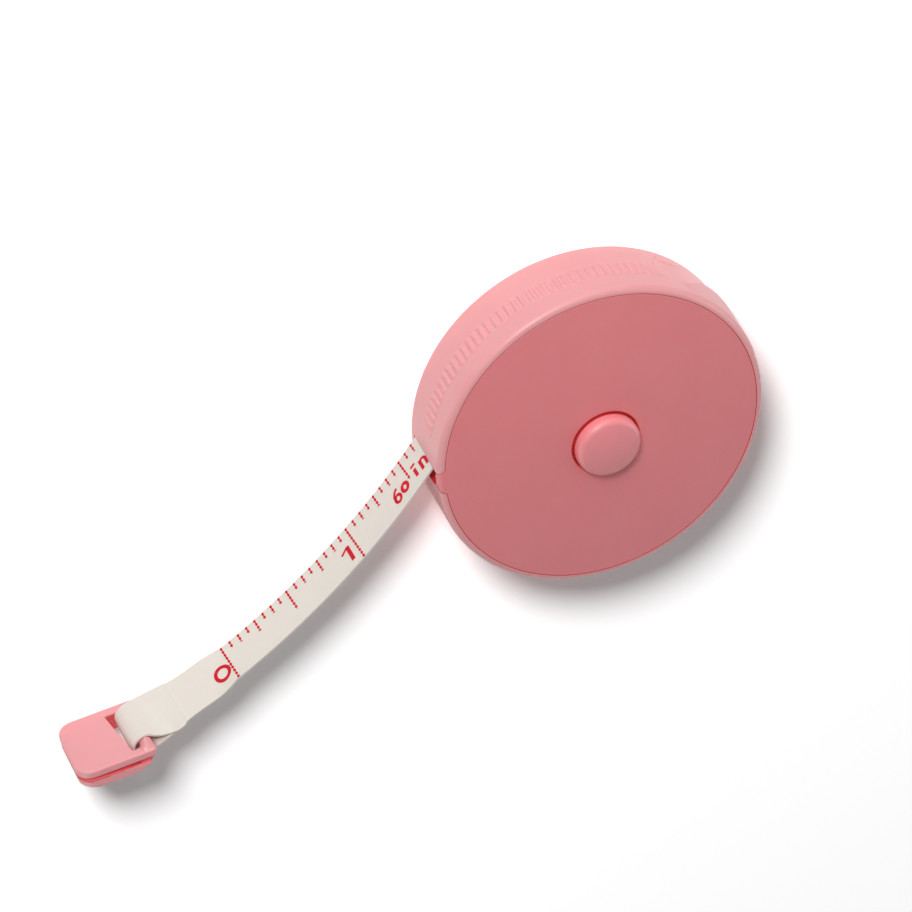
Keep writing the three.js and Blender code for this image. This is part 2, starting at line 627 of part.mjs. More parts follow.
function brakePlate() {
  let body = ring(STEM_RADIUS + STEM_FIT_GAP, brakePlateRadius, plateLowZ, plateTopZ, DISC_SEGMENTS);
  const keyMiddle = (ARBOR_RADIUS + ARBOR_BORE_RADIUS) / 2;
  const keyDepthHalf = (ARBOR_RADIUS - ARBOR_BORE_RADIUS) / 2;
  const keyHalf = ARBOR_KEY_WIDTH / 2 - RUNNING_GAP;
  for (const side of [-1, 1]) {
    const centre = side * keyMiddle;
    body = body.add(
      block(
        new THREE.Vector3(centre - keyDepthHalf, -keyHalf, brakeKeyLowZ),
        new THREE.Vector3(centre + keyDepthHalf, keyHalf, plateTopZ),
      ),
    );
  }
  return body;
}

function brakePad(index) {
  const span = THREE.MathUtils.degToRad(BRAKE_PAD_SPAN_DEG / 2);
  const reach = 2 * brakePadOuter;
  const wedge = [
    new THREE.Vector2(0, 0),
    new THREE.Vector2(reach * Math.cos(span), -reach * Math.sin(span)),
    new THREE.Vector2(reach * Math.cos(span), reach * Math.sin(span)),
  ];
  const padInner = brakePadOuter - BRAKE_PAD_WIDTH;
  const pads = ring(padInner, brakePadOuter, plateTopZ + SEAT_GAP, padTopZ, DISC_SEGMENTS);
  return pads.intersect(prism(wedge, 0, CASE_THICKNESS).rotate([0, 0, (360 * index) / BRAKE_PAD_COUNT]));
}

// Where the pin that holds the tape's inner end stands.
function anchorPinCentre() {
  return polar(drumInnerRadius - ANCHOR_PIN_RADIUS - SEAT_GAP, TAPE_SLIT_DEG);
}

// Where the pin that takes the power spring's outer end stands.
function springPinCentre() {
  return polar(drumInnerRadius - SPRING_PIN_RADIUS - SEAT_GAP, SPRING_PIN_DEG);
}

function spoolDrum() {
  const drumTop = spoolTopFlangeZ - SEAT_GAP;
  const body = turned(
    [
      [spoolBoreRadius, spoolLowZ],
      [spoolFlangeRadius, spoolLowZ],
      [spoolFlangeRadius, spoolWebTopZ],
      [drumOuterRadius, spoolWebTopZ],
      [drumOuterRadius, drumTop],
      [drumInnerRadius, drumTop],
      [drumInnerRadius, spoolWebTopZ],
      [spoolBoreRadius, spoolWebTopZ],
    ],
    CASE_SEGMENTS,
  );
  const slit = block(
    new THREE.Vector3(drumInnerRadius - BOOLEAN_OVERRUN, -TAPE_SLIT_WIDTH / 2, TAPE_LOW_Z),
    new THREE.Vector3(drumOuterRadius + BOOLEAN_OVERRUN, TAPE_SLIT_WIDTH / 2, drumTop + BOOLEAN_OVERRUN),
  );
  return body.subtract(slit.rotate([0, 0, TAPE_SLIT_DEG]));
}

function spoolFlange() {
  const spigotOuter = drumInnerRadius - SEAT_GAP;
  const top = spoolTopFlangeZ + SPOOL_FLANGE_THICKNESS;
  const body = turned(
    [
      [spoolTopBoreRadius, spoolTopFlangeZ],
      [spigotOuter - SPOOL_SPIGOT_WIDTH, spoolTopFlangeZ],
      [spigotOuter - SPOOL_SPIGOT_WIDTH, spoolTopFlangeZ - SPOOL_SPIGOT_HEIGHT],
      [spigotOuter, spoolTopFlangeZ - SPOOL_SPIGOT_HEIGHT],
      [spigotOuter, spoolTopFlangeZ],
      [spoolFlangeRadius, spoolTopFlangeZ],
      [spoolFlangeRadius, top],
      [spoolTopBoreRadius, top],
    ],
    CASE_SEGMENTS,
  );
  const relief = rod(anchorPinCentre(), ANCHOR_PIN_RADIUS + PARTING_GAP, 0, spoolTopFlangeZ - SEAT_GAP);
  return body.subtract(relief);
}

function springCover() {
  const body = ring(
    spoolBoreRadius,
    drumInnerRadius - SEAT_GAP,
    springCoverZ,
    springCoverZ + SPRING_COVER_THICKNESS,
    CASE_SEGMENTS,
  );
  return body.subtract(rod(anchorPinCentre(), ANCHOR_PIN_RADIUS + PARTING_GAP, 0, CASE_THICKNESS));
}

function anchorPin() {
  const centre = anchorPinCentre();
  return rod(centre, ANCHOR_PIN_RADIUS, spoolWebTopZ + SEAT_GAP, spoolTopFlangeZ - 2 * SEAT_GAP);
}

function springPin() {
  return rod(springPinCentre(), SPRING_PIN_RADIUS, spoolWebTopZ + SEAT_GAP, springCoverZ - SEAT_GAP);
}

// A flat strip wound into a spiral, with its inner end turned in to the arbor's slot.
function powerSpring() {
  const half = POWER_SPRING_THICKNESS / 2;
  const inner = ARBOR_RADIUS + POWER_SPRING_ARBOR_GAP;
  const outer = springPinCentre().length() - SPRING_PIN_RADIUS - RUNNING_GAP - half;
  const steps = POWER_SPRING_TURNS * POWER_SPRING_STEPS_PER_TURN;
  const slotDeg = 90;
  const path = [
    new THREE.Vector2(0, ARBOR_BORE_RADIUS + SEAT_GAP + half),
    new THREE.Vector2(0, inner - half),
  ];
  for (let i = 1; i <= steps; i += 1) {
    const degrees = slotDeg - (360 * i) / POWER_SPRING_STEPS_PER_TURN;
    path.push(polar(inner + ((outer - inner) * i) / steps, degrees));
  }
  const positions = [];
  path.forEach((point, i) => {
    const side = sideOf(path, i).multiplyScalar(half);
    positions.push(point.x - side.x, point.y - side.y, powerSpringLowZ);
    positions.push(point.x + side.x, point.y + side.y, powerSpringLowZ);
    positions.push(point.x + side.x, point.y + side.y, powerSpringHighZ);
    positions.push(point.x - side.x, point.y - side.y, powerSpringHighZ);
  });
  return sweptSolid(positions, path.length - 1, 4);
}

// The unit direction to the left of a path at one of its points.
function sideOf(path, i) {
  const before = path[Math.max(0, i - 1)];
  const after = path[Math.min(path.length - 1, i + 1)];
  const along = new THREE.Vector2().subVectors(after, before).normalize();
  return new THREE.Vector2(-along.y, along.x);
}

function thrustWasher() {
  const low = FLOOR_THICKNESS + ARBOR_FOOT_HEIGHT + SEAT_GAP;
  const inner = ARBOR_RADIUS + WASHER_BORE_GAP;
  return ring(inner, ARBOR_FOOT_RADIUS - WASHER_RIM_GAP, low, low + WASHER_THICKNESS, DISC_SEGMENTS);
}

function tapeRoll() {
  return ring(rollInnerRadius, rollHeldRadius, TAPE_LOW_Z, TAPE_HIGH_Z, CASE_SEGMENTS);
}

// A path in the XY plane with the tape's thickness, as a solid of the tape's width.
function strip(path, highZ) {
  const half = TAPE_THICKNESS / 2;
  const left = path.map((point, i) => point.clone().addScaledVector(sideOf(path, i), half));
  const right = path.map((point, i) => point.clone().addScaledVector(sideOf(path, i), -half));
  return prism([...left, ...right.reverse()], TAPE_LOW_Z, highZ);
}

// The tape's bend, its straight end, the loop round the tab's bar and the folded end that is welded on.
function tapeBlade() {
  const bent = Array.from({ length: TAPE_ARC_STEPS + 1 }, (_, i) => {
    const share = i / TAPE_ARC_STEPS;
    return bendPoint(TAPE_ZERO_DEG * share - TAPE_HIDDEN_PAST_ROLL_DEG * (1 - share));
  });
  const tapeTop = TAPE_THICKNESS - TAIL_WELD_DEPTH;
  const parting = underBar
    .clone()
    .addScaledVector(outwards, -TAIL_PARTING_DISTANCE)
    .addScaledVector(printedSide, tapeTop);
  const away = new THREE.Vector2().subVectors(parting, barCentre);
  const opening = Math.acos(loopRadius / away.length());
  const from = new THREE.Vector2().subVectors(underBar, barCentre).angle();
  const to = away.angle() + opening - 2 * Math.PI;
  const loop = Array.from({ length: LOOP_STEPS + 1 }, (_, i) => {
    const angle = from + ((to - from) * i) / LOOP_STEPS;
    const spoke = new THREE.Vector2(Math.cos(angle), Math.sin(angle));
    return barCentre.clone().addScaledVector(spoke, loopRadius);
  });
  const tailEnd = parting.clone().addScaledVector(outwards, -TAIL_WELD_LENGTH);
  const body = strip([...bent, underBar], TAPE_HIGH_Z);
  const start = underBar
    .clone()
    .addScaledVector(outwards, -TAPE_THICKNESS)
    .addScaledVector(printedSide, TAIL_WELD_DEPTH);
  const folded = strip([start, ...loop, parting, tailEnd], TAPE_HIGH_Z);
  return body.add(folded).add(strip([parting, tailEnd], TAPE_HIGH_Z + TAIL_FLARE_WIDTH));
}

// A rounded plate of the tab: its outline runs along the tab and across its width, its thickness along +Y.
function tabPlate(inset, lowY, highY, edgeRadius) {
  const low = -TAB_LENGTH + inset;
  const high = TAB_TOE - inset;
  const halfWidth = TAB_WIDTH / 2 - inset;
  const corner = TAB_CORNER_RADIUS - inset;
  const toe = Math.max(TAB_TOE_RADIUS - inset, edgeRadius + SEAT_GAP);
  const grow = edgeRadius;
  const outline = [
    ...arcPoints(low + corner, -halfWidth + corner, corner - grow, -180, -90),
    ...arcPoints(high - toe, -halfWidth + toe, toe - grow, -90, 0, 2),
    ...arcPoints(high - toe, halfWidth - toe, toe - grow, 0, 90, 2),
    ...arcPoints(low + corner, halfWidth - corner, corner - grow, 90, 180),
  ].map(([x, y]) => new THREE.Vector2(x, y));
  const made = new THREE.ExtrudeGeometry(new THREE.Shape(outline), {
    depth: highY - lowY - 2 * grow,
    bevelEnabled: grow > 0,
    bevelThickness: grow,
    bevelSize: grow,
    bevelSegments: 3,
    curveSegments: 1,
  });
  return solid(made.translate(0, 0, lowY + grow).rotateX(-Math.PI / 2));
}

// The slot that lets the tape's loop pass between the tab's arms, open at the arms' ends.
function tabSlot() {
  const half = tabSlotHalfWidth;
  const reach = TAB_TOP_THICKNESS + TAB_BASE_THICKNESS + TAB_ARM_RADIUS + BOOLEAN_OVERRUN;
  return block(
    new THREE.Vector3(-TAB_SLOT_LENGTH, -reach, -half),
    new THREE.Vector3(TAB_TOE + TAB_ARM_RADIUS, reach, half),
  );
}

// Where the pegs that join the tab's two halves stand, along and across the tab.
function tabPegs() {
  const along = -(TAB_SLOT_LENGTH + TAB_LENGTH) / 2;
  const across = TAB_WIDTH / 2 - TAB_CORE_INSET - 2 * TAB_PEG_RADIUS;
  return [new THREE.Vector2(along, -across), new THREE.Vector2(along, across)];
}

// A peg or socket through the tab's thickness.
function tabPeg(place, radius, lowY, highY) {
  const made = new THREE.CylinderGeometry(radius, radius, highY - lowY, SMALL_SEGMENTS / 2);
  return solid(made.translate(place.x, (lowY + highY) / 2, place.y));
}

function tabTop() {
  const armMiddle = (tabSlotHalfWidth + TAB_WIDTH / 2) / 2;
  const armHigh = TAB_WIDTH / 2 - TAB_EDGE_RADIUS / 2;
  const armEnd = new THREE.Vector2(0, TAB_ARM_RISE);
  const axis = new THREE.Vector2(0, 0);
  let body = tabPlate(0, tabTopLowY, TAB_TOP_FACE, TAB_EDGE_RADIUS).subtract(tabSlot());
  body = body.add(rod(armEnd, TAB_ARM_RADIUS, tabSlotHalfWidth, armHigh));
  body = body.add(rod(armEnd, TAB_ARM_RADIUS, -armHigh, -tabSlotHalfWidth));
  body = body.add(rod(axis, TAB_BAR_RADIUS, -armMiddle, armMiddle));
  for (const place of tabPegs()) {
    const top = tabTopLowY + TAB_PEG_LENGTH + TAB_PEG_GAP;
    body = body.subtract(tabPeg(place, TAB_PEG_RADIUS + TAB_PEG_GAP, tabTopLowY - BOOLEAN_OVERRUN, top));
  }
  return body;
}

function tabBase() {
  const baseLowY = tabBaseTopY - TAB_BASE_THICKNESS;
  const plate = tabPlate(TAB_BASE_INSET, baseLowY, tabBaseTopY, TAB_EDGE_RADIUS);
  const core = tabPlate(TAB_CORE_INSET, tabBaseTopY - TAB_GROOVE, tabTopLowY - SEAT_GAP, 0);
  const toeTrim = block(
    new THREE.Vector3(-TAB_BASE_TOE, baseLowY - BOOLEAN_OVERRUN, -TAB_WIDTH),
    new THREE.Vector3(TAB_LENGTH, TAB_TOP_FACE, TAB_WIDTH),
  );
  let body = plate.add(core);
  for (const place of tabPegs()) {
    body = body.add(tabPeg(place, TAB_PEG_RADIUS, tabBaseTopY - TAB_GROOVE, tabTopLowY + TAB_PEG_LENGTH));
  }
  return body.subtract(tabSlot()).subtract(toeTrim);
}

// A named mesh from a solid.
function piece(name, body, finish) {
  const mesh = new THREE.Mesh(geometryOf(body), new THREE.MeshStandardMaterial(finish));
  mesh.name = name;
  return mesh;
}

const tapeMeasure = new THREE.Group();

tapeMeasure.add(piece("rear_shell", rearShell(), pinkAbs));
tapeMeasure.add(piece("front_cover", frontCover(), pinkAbs));
tapeMeasure.add(piece("push_button", pushButton(), buttonAbs));
tapeMeasure.add(piece("button_spring", buttonSpring(), springSteel));
tapeMeasure.add(piece("brake_plate", brakePlate(), whiteAcetal));
for (let i = 0; i < BRAKE_PAD_COUNT; i += 1) {
  tapeMeasure.add(piece(`brake_pad_${i + 1}`, brakePad(i), padRubber));
}
tapeMeasure.add(piece("thrust_washer", thrustWasher(), washerFilm));
tapeMeasure.add(piece("spool_drum", spoolDrum(), whiteAcetal));
tapeMeasure.add(piece("spool_flange", spoolFlange(), whiteAcetal));
tapeMeasure.add(piece("spring_cover", springCover(), whiteAcetal));
tapeMeasure.add(piece("power_spring", powerSpring(), springSteel));
tapeMeasure.add(piece("spring_pin", springPin(), springSteel));
tapeMeasure.add(piece("tape_anchor_pin", anchorPin(), whiteAcetal));
tapeMeasure.add(piece("tape_roll", tapeRoll(), coatedCloth));
tapeMeasure.add(piece("tape_blade", tapeBlade(), coatedCloth));

// The pull tab turns about its bar, which stands along Z in the tape's loop.
const pullTab = new THREE.Group();
pullTab.position.set(barCentre.x, barCentre.y, CASE_THICKNESS / 2);
pullTab.rotation.z = THREE.MathUtils.degToRad(TAB_REST_DEG);
pullTab.add(piece("end_tab_top", tabTop(), tabAbs));
pullTab.add(piece("end_tab_base", tabBase(), tabAbs));
tapeMeasure.add(pullTab);

export default tapeMeasure;
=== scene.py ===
"""Visual model of a round push-button cloth tape measure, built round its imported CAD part."""

import logging
import math
from collections.abc import Callable, Sequence
from dataclasses import dataclass
from enum import Enum
from typing import Any

import bmesh
import bpy
import numpy as np
from mathutils import Matrix, geometry


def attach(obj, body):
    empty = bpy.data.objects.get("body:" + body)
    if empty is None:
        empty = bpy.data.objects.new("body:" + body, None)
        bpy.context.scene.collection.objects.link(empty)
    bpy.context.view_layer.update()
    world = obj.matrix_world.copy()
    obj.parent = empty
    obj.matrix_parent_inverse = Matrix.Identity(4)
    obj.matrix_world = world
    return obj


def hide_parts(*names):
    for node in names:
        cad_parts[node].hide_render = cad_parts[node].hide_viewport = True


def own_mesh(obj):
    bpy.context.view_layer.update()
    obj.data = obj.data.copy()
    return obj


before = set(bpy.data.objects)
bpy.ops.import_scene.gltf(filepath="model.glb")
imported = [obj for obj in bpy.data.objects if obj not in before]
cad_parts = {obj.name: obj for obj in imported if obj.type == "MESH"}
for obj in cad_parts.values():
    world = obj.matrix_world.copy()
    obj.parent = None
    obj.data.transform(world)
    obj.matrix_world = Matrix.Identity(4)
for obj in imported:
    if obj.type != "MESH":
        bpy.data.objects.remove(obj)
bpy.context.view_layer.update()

LOG = logging.getLogger("tape_measure")

MM = 0.001
SMALL = 1e-6
# Points closer than this, in millimetres, are one point
MERGE = 5e-5
Point = tuple[float, float]
Path = list[Point]
Knots = tuple[Point, ...]
Triple = tuple[float, float, float]
Face = tuple[int, ...]
Piece = bpy.types.Object
Material = bpy.types.Material
Tree = bpy.types.NodeTree
Socket = bpy.types.NodeSocket


# Shared helpers


def linear(hex_colour: str) -> tuple[float, float, float, float]:
    """Turns an sRGB hex colour into linear RGBA.

    Args:
        hex_colour: Six hex digits, with or without a hash sign.

    Returns:
        The linear red, green and blue, with an alpha of one.
    """
    digits = hex_colour.lstrip("#")
    channels = []
    for start in (0, 2, 4):
        value = int(digits[start : start + 2], 16) / 255
        channels.append(value / 12.92 if value <= 0.04045 else ((value + 0.055) / 1.055) ** 2.4)
    return (channels[0], channels[1], channels[2], 1.0)


def add_node(
    tree: Tree,
    kind: str,
    settings: dict[str | int, Any] | None = None,
    links: dict[str | int, Socket] | None = None,
) -> bpy.types.Node:
    """Adds a shader node with its settings and links.

    Args:
        tree: The node tree to add to.
        kind: The node's type name without its ShaderNode prefix.
        settings: Values by property name, or by input name or index.
        links: The output socket that feeds each named or numbered input.

    Returns:
        The new node.
    """
    made = tree.nodes.new("ShaderNode" + kind)
    for key, value in (settings or {}).items():
        if isinstance(key, str) and hasattr(made, key):
            setattr(made, key, value)
        else:
            made.inputs[key].default_value = value
    for key, source in (links or {}).items():
        tree.links.new(source, made.inputs[key])
    return made


def polar(radius: float, degrees: float) -> Point:
    """Returns the XY point at a radius and azimuth."""
    angle = math.radians(degrees)
    return (radius * math.cos(angle), radius * math.sin(angle))


def azimuths_of(points: np.ndarray) -> np.ndarray:
    """Returns the directions of points round the Z axis, in degrees from 0 to 360."""
    return np.degrees(np.arctan2(points[:, 1], points[:, 0])) % 360


def arc(centre: Point, radius: float, start: float, end: float, steps: int) -> Path:
    """Returns the points of an arc between two angles in degrees, both ends included."""
    turned = [polar(radius, start + (end - start) * i / steps) for i in range(steps + 1)]
    return [(centre[0] + x, centre[1] + y) for x, y in turned]


def span(low: float, high: float, steps: int) -> list[float]:
    """Returns evenly spaced numbers from low to high, both included."""
    return [low + (high - low) * i / steps for i in range(steps + 1)]


def stairs(*turns: float) -> Path:
    """Returns the corners of a stepped outline, from its radii and heights in turn."""
    pairs = enumerate(zip(turns, turns[1:]))
    return [(second, first) if i % 2 else (first, second) for i, (first, second) in pairs]


def smoothstep(low: float, high: float, value: np.ndarray | float) -> np.ndarray | float:
    """Returns 0 below low and 1 above high, with a smooth rise between."""
    share = np.clip((np.asarray(value) - low) / (high - low), 0, 1)
    return share * share * (3 - 2 * share)


def window(rise: Point, fall: Point, value: np.ndarray) -> np.ndarray:
    """Returns 1 between a smooth rise and a smooth fall, and 0 outside them."""
    return smoothstep(*rise, value) * (1 - smoothstep(*fall, value))


def curve_through(knots: Sequence[Point], at: np.ndarray) -> np.ndarray:
    """Reads a smooth curve through knots, which stays level beyond its ends.

    Args:
        knots: Pairs of position and value, in rising order of position.
        at: The positions to read.

    Returns:
        The curve's values.
    """
    x, y = np.array(knots).T
    slope = np.gradient(y, x)
    where = np.clip(np.searchsorted(x, at) - 1, 0, len(x) - 2)
    width = x[where + 1] - x[where]
    u = np.clip((at - x[where]) / width, 0, 1)
    rise, fall = slope[where] * width, slope[where + 1] * width
    cubic = (2 * u**3 - 3 * u**2 + 1) * y[where] + (u**3 - 2 * u**2 + u) * rise
    return cubic + (3 * u**2 - 2 * u**3) * y[where + 1] + (u**3 - u**2) * fall


def mesh_piece(name: str, points: np.ndarray, faces: Sequence[Face]) -> Piece:
    """Makes an object in the scene from points in millimetres, which stay in millimetres.

    Args:
        name: The object's name.
        points: Rows of x, y and z.
        faces: Rows of point numbers.

    Returns:
        The new object.
    """
    mesh = bpy.data.meshes.new(name)
    mesh.from_pydata([tuple(map(float, p)) for p in points], [], [tuple(f) for f in faces])
    mesh.validate()
    made = bpy.data.objects.new(name, mesh)
    bpy.context.scene.collection.objects.link(made)
    return made


def weld(piece: Piece) -> Piece:
    """Merges the points of a piece that coincide and turns its faces outwards.

    Args:
        piece: The piece, in millimetres.

    Returns:
        The same piece.
    """
    work = bmesh.new()
    work.from_mesh(piece.data)
    bmesh.ops.remove_doubles(work, verts=work.verts, dist=MERGE)
    bmesh.ops.dissolve_degenerate(work, edges=work.edges, dist=SMALL)
    bmesh.ops.recalc_face_normals(work, faces=work.faces)
    work.to_mesh(piece.data)
    work.free()
    return piece


def grid_faces(rows: int, columns: int, closed: bool, looped: bool = False) -> list[Face]:
    """Returns the quads of a grid of points, counted row by row.

    Args:
        rows: How many rows the grid has.
        columns: How many points each row has.
        closed: Whether each row joins its last point to its first.
        looped: Whether the last row joins the first.

    Returns:
        The quads.
    """
    faces = []
    for row in range(rows if looped else rows - 1):
        low, high = row * columns, (row + 1) % rows * columns
        for column in range(columns if closed else columns - 1):
            following = (column + 1) % columns
            faces.append((low + column, low + following, high + following, high + column))
    return faces


def loft(name: str, rings: Sequence[Sequence[Triple]]) -> Piece:
    """Skins closed rings of points into a solid with flat ends.

    Args:
        name: The object's name.
        rings: The rings in order, each with as many points.

    Returns:
        The solid, in millimetres.
    """
    columns = len(rings[0])
    faces = grid_faces(len(rings), columns, closed=True)
    for start in (0, (len(rings) - 1) * columns):
        faces.append(tuple(range(start, start + columns)))
    return weld(mesh_piece(name, np.array(rings).reshape(-1, 3), faces))


def lathe(name: str, profile: Path, azimuths: Sequence[float]) -> Piece:
    """Turns a closed profile about the Z axis.

    Args:
        name: The object's name.
        profile: Points of radius and height, whose ends meet on the axis or each other.
        azimuths: The directions of the profile's copies, in degrees.

    Returns:
        The turned solid, in millimetres.
    """
    points = np.array([(*polar(r, degrees), z) for r, z in profile for degrees in azimuths])
    hollow = profile[0][0] > SMALL and profile[-1][0] > SMALL
    faces = grid_faces(len(profile), len(azimuths), closed=True, looped=hollow)
    return weld(mesh_piece(name, points, faces))


def prism(name: str, outline: Sequence[Point], low: float, high: float) -> Piece:
    """Raises an XY outline into a solid.

    Args:
        name: The object's name.
        outline: The corners, in order.
        low: The height of its lower face.
        high: The height of its upper face.

    Returns:
        The solid, in millimetres.
    """
    count = len(outline)
    points = np.array([(x, y, z) for z in (low, high) for x, y in outline])
    corners = geometry.tessellate_polygon([[(x, y, 0) for x, y in outline]])
    faces: list[Face] = [tuple(c) for c in corners]
    faces += [tuple(i + count for i in reversed(c)) for c in corners]
    return weld(mesh_piece(name, points, faces + grid_faces(2, count, closed=True)))


def bake(piece: Piece) -> None:
    """Applies the modifiers of a piece to its mesh.

    Args:
        piece: The piece, which ends with no modifiers.
    """
    shown = piece.evaluated_get(bpy.context.evaluated_depsgraph_get())
    mesh = bpy.data.meshes.new_from_object(shown)
    old = piece.data
    piece.modifiers.clear()
    piece.data = mesh
    mesh.name = old.name
    bpy.data.meshes.remove(old)


class Cut(Enum):
    """How a boolean joins two solids."""

    JOIN = "UNION"
    TAKE = "DIFFERENCE"
    KEEP = "INTERSECT"


def combine(piece: Piece, tool: Piece, how: Cut) -> None:
    """Joins a helper solid to a piece, takes it away or keeps what they share.

    Args:
        piece: The piece to change.
        tool: The helper solid, which is deleted with its mesh.
        how: What is done with it.
    """
    cut = piece.modifiers.new("cut", "BOOLEAN")
    cut.object = tool
    cut.operation = how.value
    cut.solver = "MANIFOLD"
    bake(piece)
    bpy.data.meshes.remove(tool.data)


def finish_off(piece: Piece, finish: Material, edge_degrees: float) -> None:
    """Brings a piece from millimetres to metres, smooths its shading and gives it its finish.

    Args:
        piece: The piece, whose mesh is in millimetres.
        finish: Its finish, in place of any that it has.
        edge_degrees: Edges sharper than this stay crisp.
    """
    mesh = piece.data
    mesh.transform(Matrix.Scale(MM, 4))
    mesh.shade_smooth()
    mesh.set_sharp_from_angle(angle=math.radians(edge_degrees))
    mesh.materials.clear()
    mesh.materials.append(finish)


def face_centres(piece: Piece) -> np.ndarray:
    """Reads the centres of a piece's faces.

    Args:
        piece: The piece.

    Returns:
        One row for each face, in the mesh's own units.
    """
    centres = np.empty(len(piece.data.polygons) * 3)
    piece.data.polygons.foreach_get("center", centres)
    return centres.reshape(-1, 3)


def paint_shade_within(piece: Piece, finish: Material, chosen: np.ndarray) -> None:
    """Paints shade on the hidden faces of a piece with a second finish.

    Args:
        piece: The piece, with its first finish on.
        finish: The second finish, a painted shade.
        chosen: Whether each face gets it.
    """
    piece.data.materials.append(finish)
    piece.data.polygons.foreach_set("material_index", chosen.astype(np.int32))


# Finishes

# The Mix node's colour inputs and output, by number
MIX_FIRST, MIX_SECOND, MIX_RESULT = 6, 7, 2


@dataclass(frozen=True)
class Finish:
    """What every finish has: two close tones, how rough and raised it is, how light enters it."""

    name: str
    colour: str
    second: str
    roughness: float
    relief: float = 0.4
    relief_mm: float = 0.005
    ior: float = 1.5
    bleed: float = 0.0
    bleed_mm: Triple = (1.0, 0.2, 0.1)

    def start(self) -> tuple[Tree, bpy.types.Node, Material]:
        """Makes the material with its shader.

        Returns:
            The node tree, its principled shader, and the material.
        """
        made = bpy.data.materials.new(self.name)
        made.use_nodes = True
        made.diffuse_color = linear(self.colour)
        tree = made.node_tree
        tree.nodes.clear()
        # Light soaks a little way in, which reddens or warms the gaps, folds and edges
        settings = {
            "Base Color": linear(self.colour),
            "Roughness": self.roughness,
            "IOR": self.ior,
            "Subsurface Weight": self.bleed,
            "Subsurface Radius": self.bleed_mm,
            "Subsurface Scale": MM,
        }
        shader = add_node(tree, "BsdfPrincipled", settings)
        add_node(tree, "OutputMaterial", links={"Surface": shader.outputs["BSDF"]})
        return tree, shader, made

    def mottle(
        self, tree: Tree, size_mm: float, detail: float, roughness: float = 0.5, stretch: float = 1.0
    ) -> Socket:
        """Adds a cloudy pattern of a real size, fixed to the piece.

        Args:
            tree: The material's node tree.
            size_mm: The size of its clouds.
            detail: How many finer layers it has.
            roughness: How strong those layers are.
            stretch: How much finer it is along Z.

        Returns:
            The pattern's value.
        """
        place = add_node(tree, "TexCoord").outputs["Object"]
        laid = add_node(tree, "Mapping", {"Scale": (1.0, 1.0, stretch)}, {"Vector": place})
        settings = {"Scale": 1 / (size_mm * MM), "Detail": detail, "Roughness": roughness}
        return add_node(tree, "TexNoise", settings, {"Vector": laid.outputs["Vector"]}).outputs["Fac"]

    def blended(self, tree: Tree, pattern: Socket, start: float, tones: tuple[str, str]) -> Socket:
        """Runs from one tone to another as a pattern rises.

        Args:
            tree: The material's node tree.
            pattern: The pattern's value.
            start: The value where the run starts, which ends as far below one.
            tones: The sRGB hex colours at its start and end.

        Returns:
            The mixed colour.
        """
        limits = {"From Min": start, "From Max": 1 - start}
        share = add_node(tree, "MapRange", limits, {"Value": pattern})
        colours = {MIX_FIRST: linear(tones[0]), MIX_SECOND: linear(tones[1])}
        mixed = add_node(tree, "Mix", {"data_type": "RGBA", **colours}, {0: share.outputs["Result"]})
        return mixed.outputs[MIX_RESULT]

    def lay(self, tree: Tree, shader: bpy.types.Node, tone: Socket, height: Socket) -> None:
        """Gives the shader its tone and its relief.

        Args:
            tree: The material's node tree.
            shader: The principled shader.
            tone: The colour.
            height: The relief's height, from 0 to 1.
        """
        depth = {"Strength": self.relief, "Distance": self.relief_mm * MM}
        bump = add_node(tree, "Bump", depth, {"Height": height})
        tree.links.new(tone, shader.inputs["Base Color"])
        tree.links.new(bump.outputs["Normal"], shader.inputs["Normal"])


@dataclass(frozen=True)
class MouldedAbs(Finish):
    """Pink ABS, injection moulded in a fine spark-eroded mould: an even satin skin."""

    relief: float = 0.35
    relief_mm: float = 0.004
    ior: float = 1.53
    bleed: float = 0.5
    bleed_mm: Triple = (0.9, 0.12, 0.1)
    grain_mm: float = 0.22
    flow_mm: float = 9.0
    rough_drift: Point = (-0.03, 0.05)
    painted_glow: float = 0.0

    def material(self) -> Material:
        """Makes the material: satin skin, faint mould grain and slow shifts of tone.

        Returns:
            The material.
        """
        tree, shader, made = self.start()
        # The real grain is about 0.05 mm, too fine to show, so it is drawn four times coarser
        grain = self.mottle(tree, self.grain_mm, detail=2.0, roughness=0.55)
        flow = self.mottle(tree, self.flow_mm, detail=3.0)
        tone = self.blended(tree, flow, start=0.3, tones=(self.second, self.colour))
        self.lay(tree, shader, tone, grain)
        low, high = (self.roughness + drift for drift in self.rough_drift)
        rough = add_node(tree, "MapRange", {"To Min": low, "To Max": high}, {"Value": flow})
        tree.links.new(rough.outputs["Result"], shader.inputs["Roughness"])
        # Painted glow: the finish faintly gives off its own colour, standing in for light that has crossed
        # the wall into its hidden side
        shader.inputs["Emission Color"].default_value = linear(self.colour)
        shader.inputs["Emission Strength"].default_value = self.painted_glow
        return made


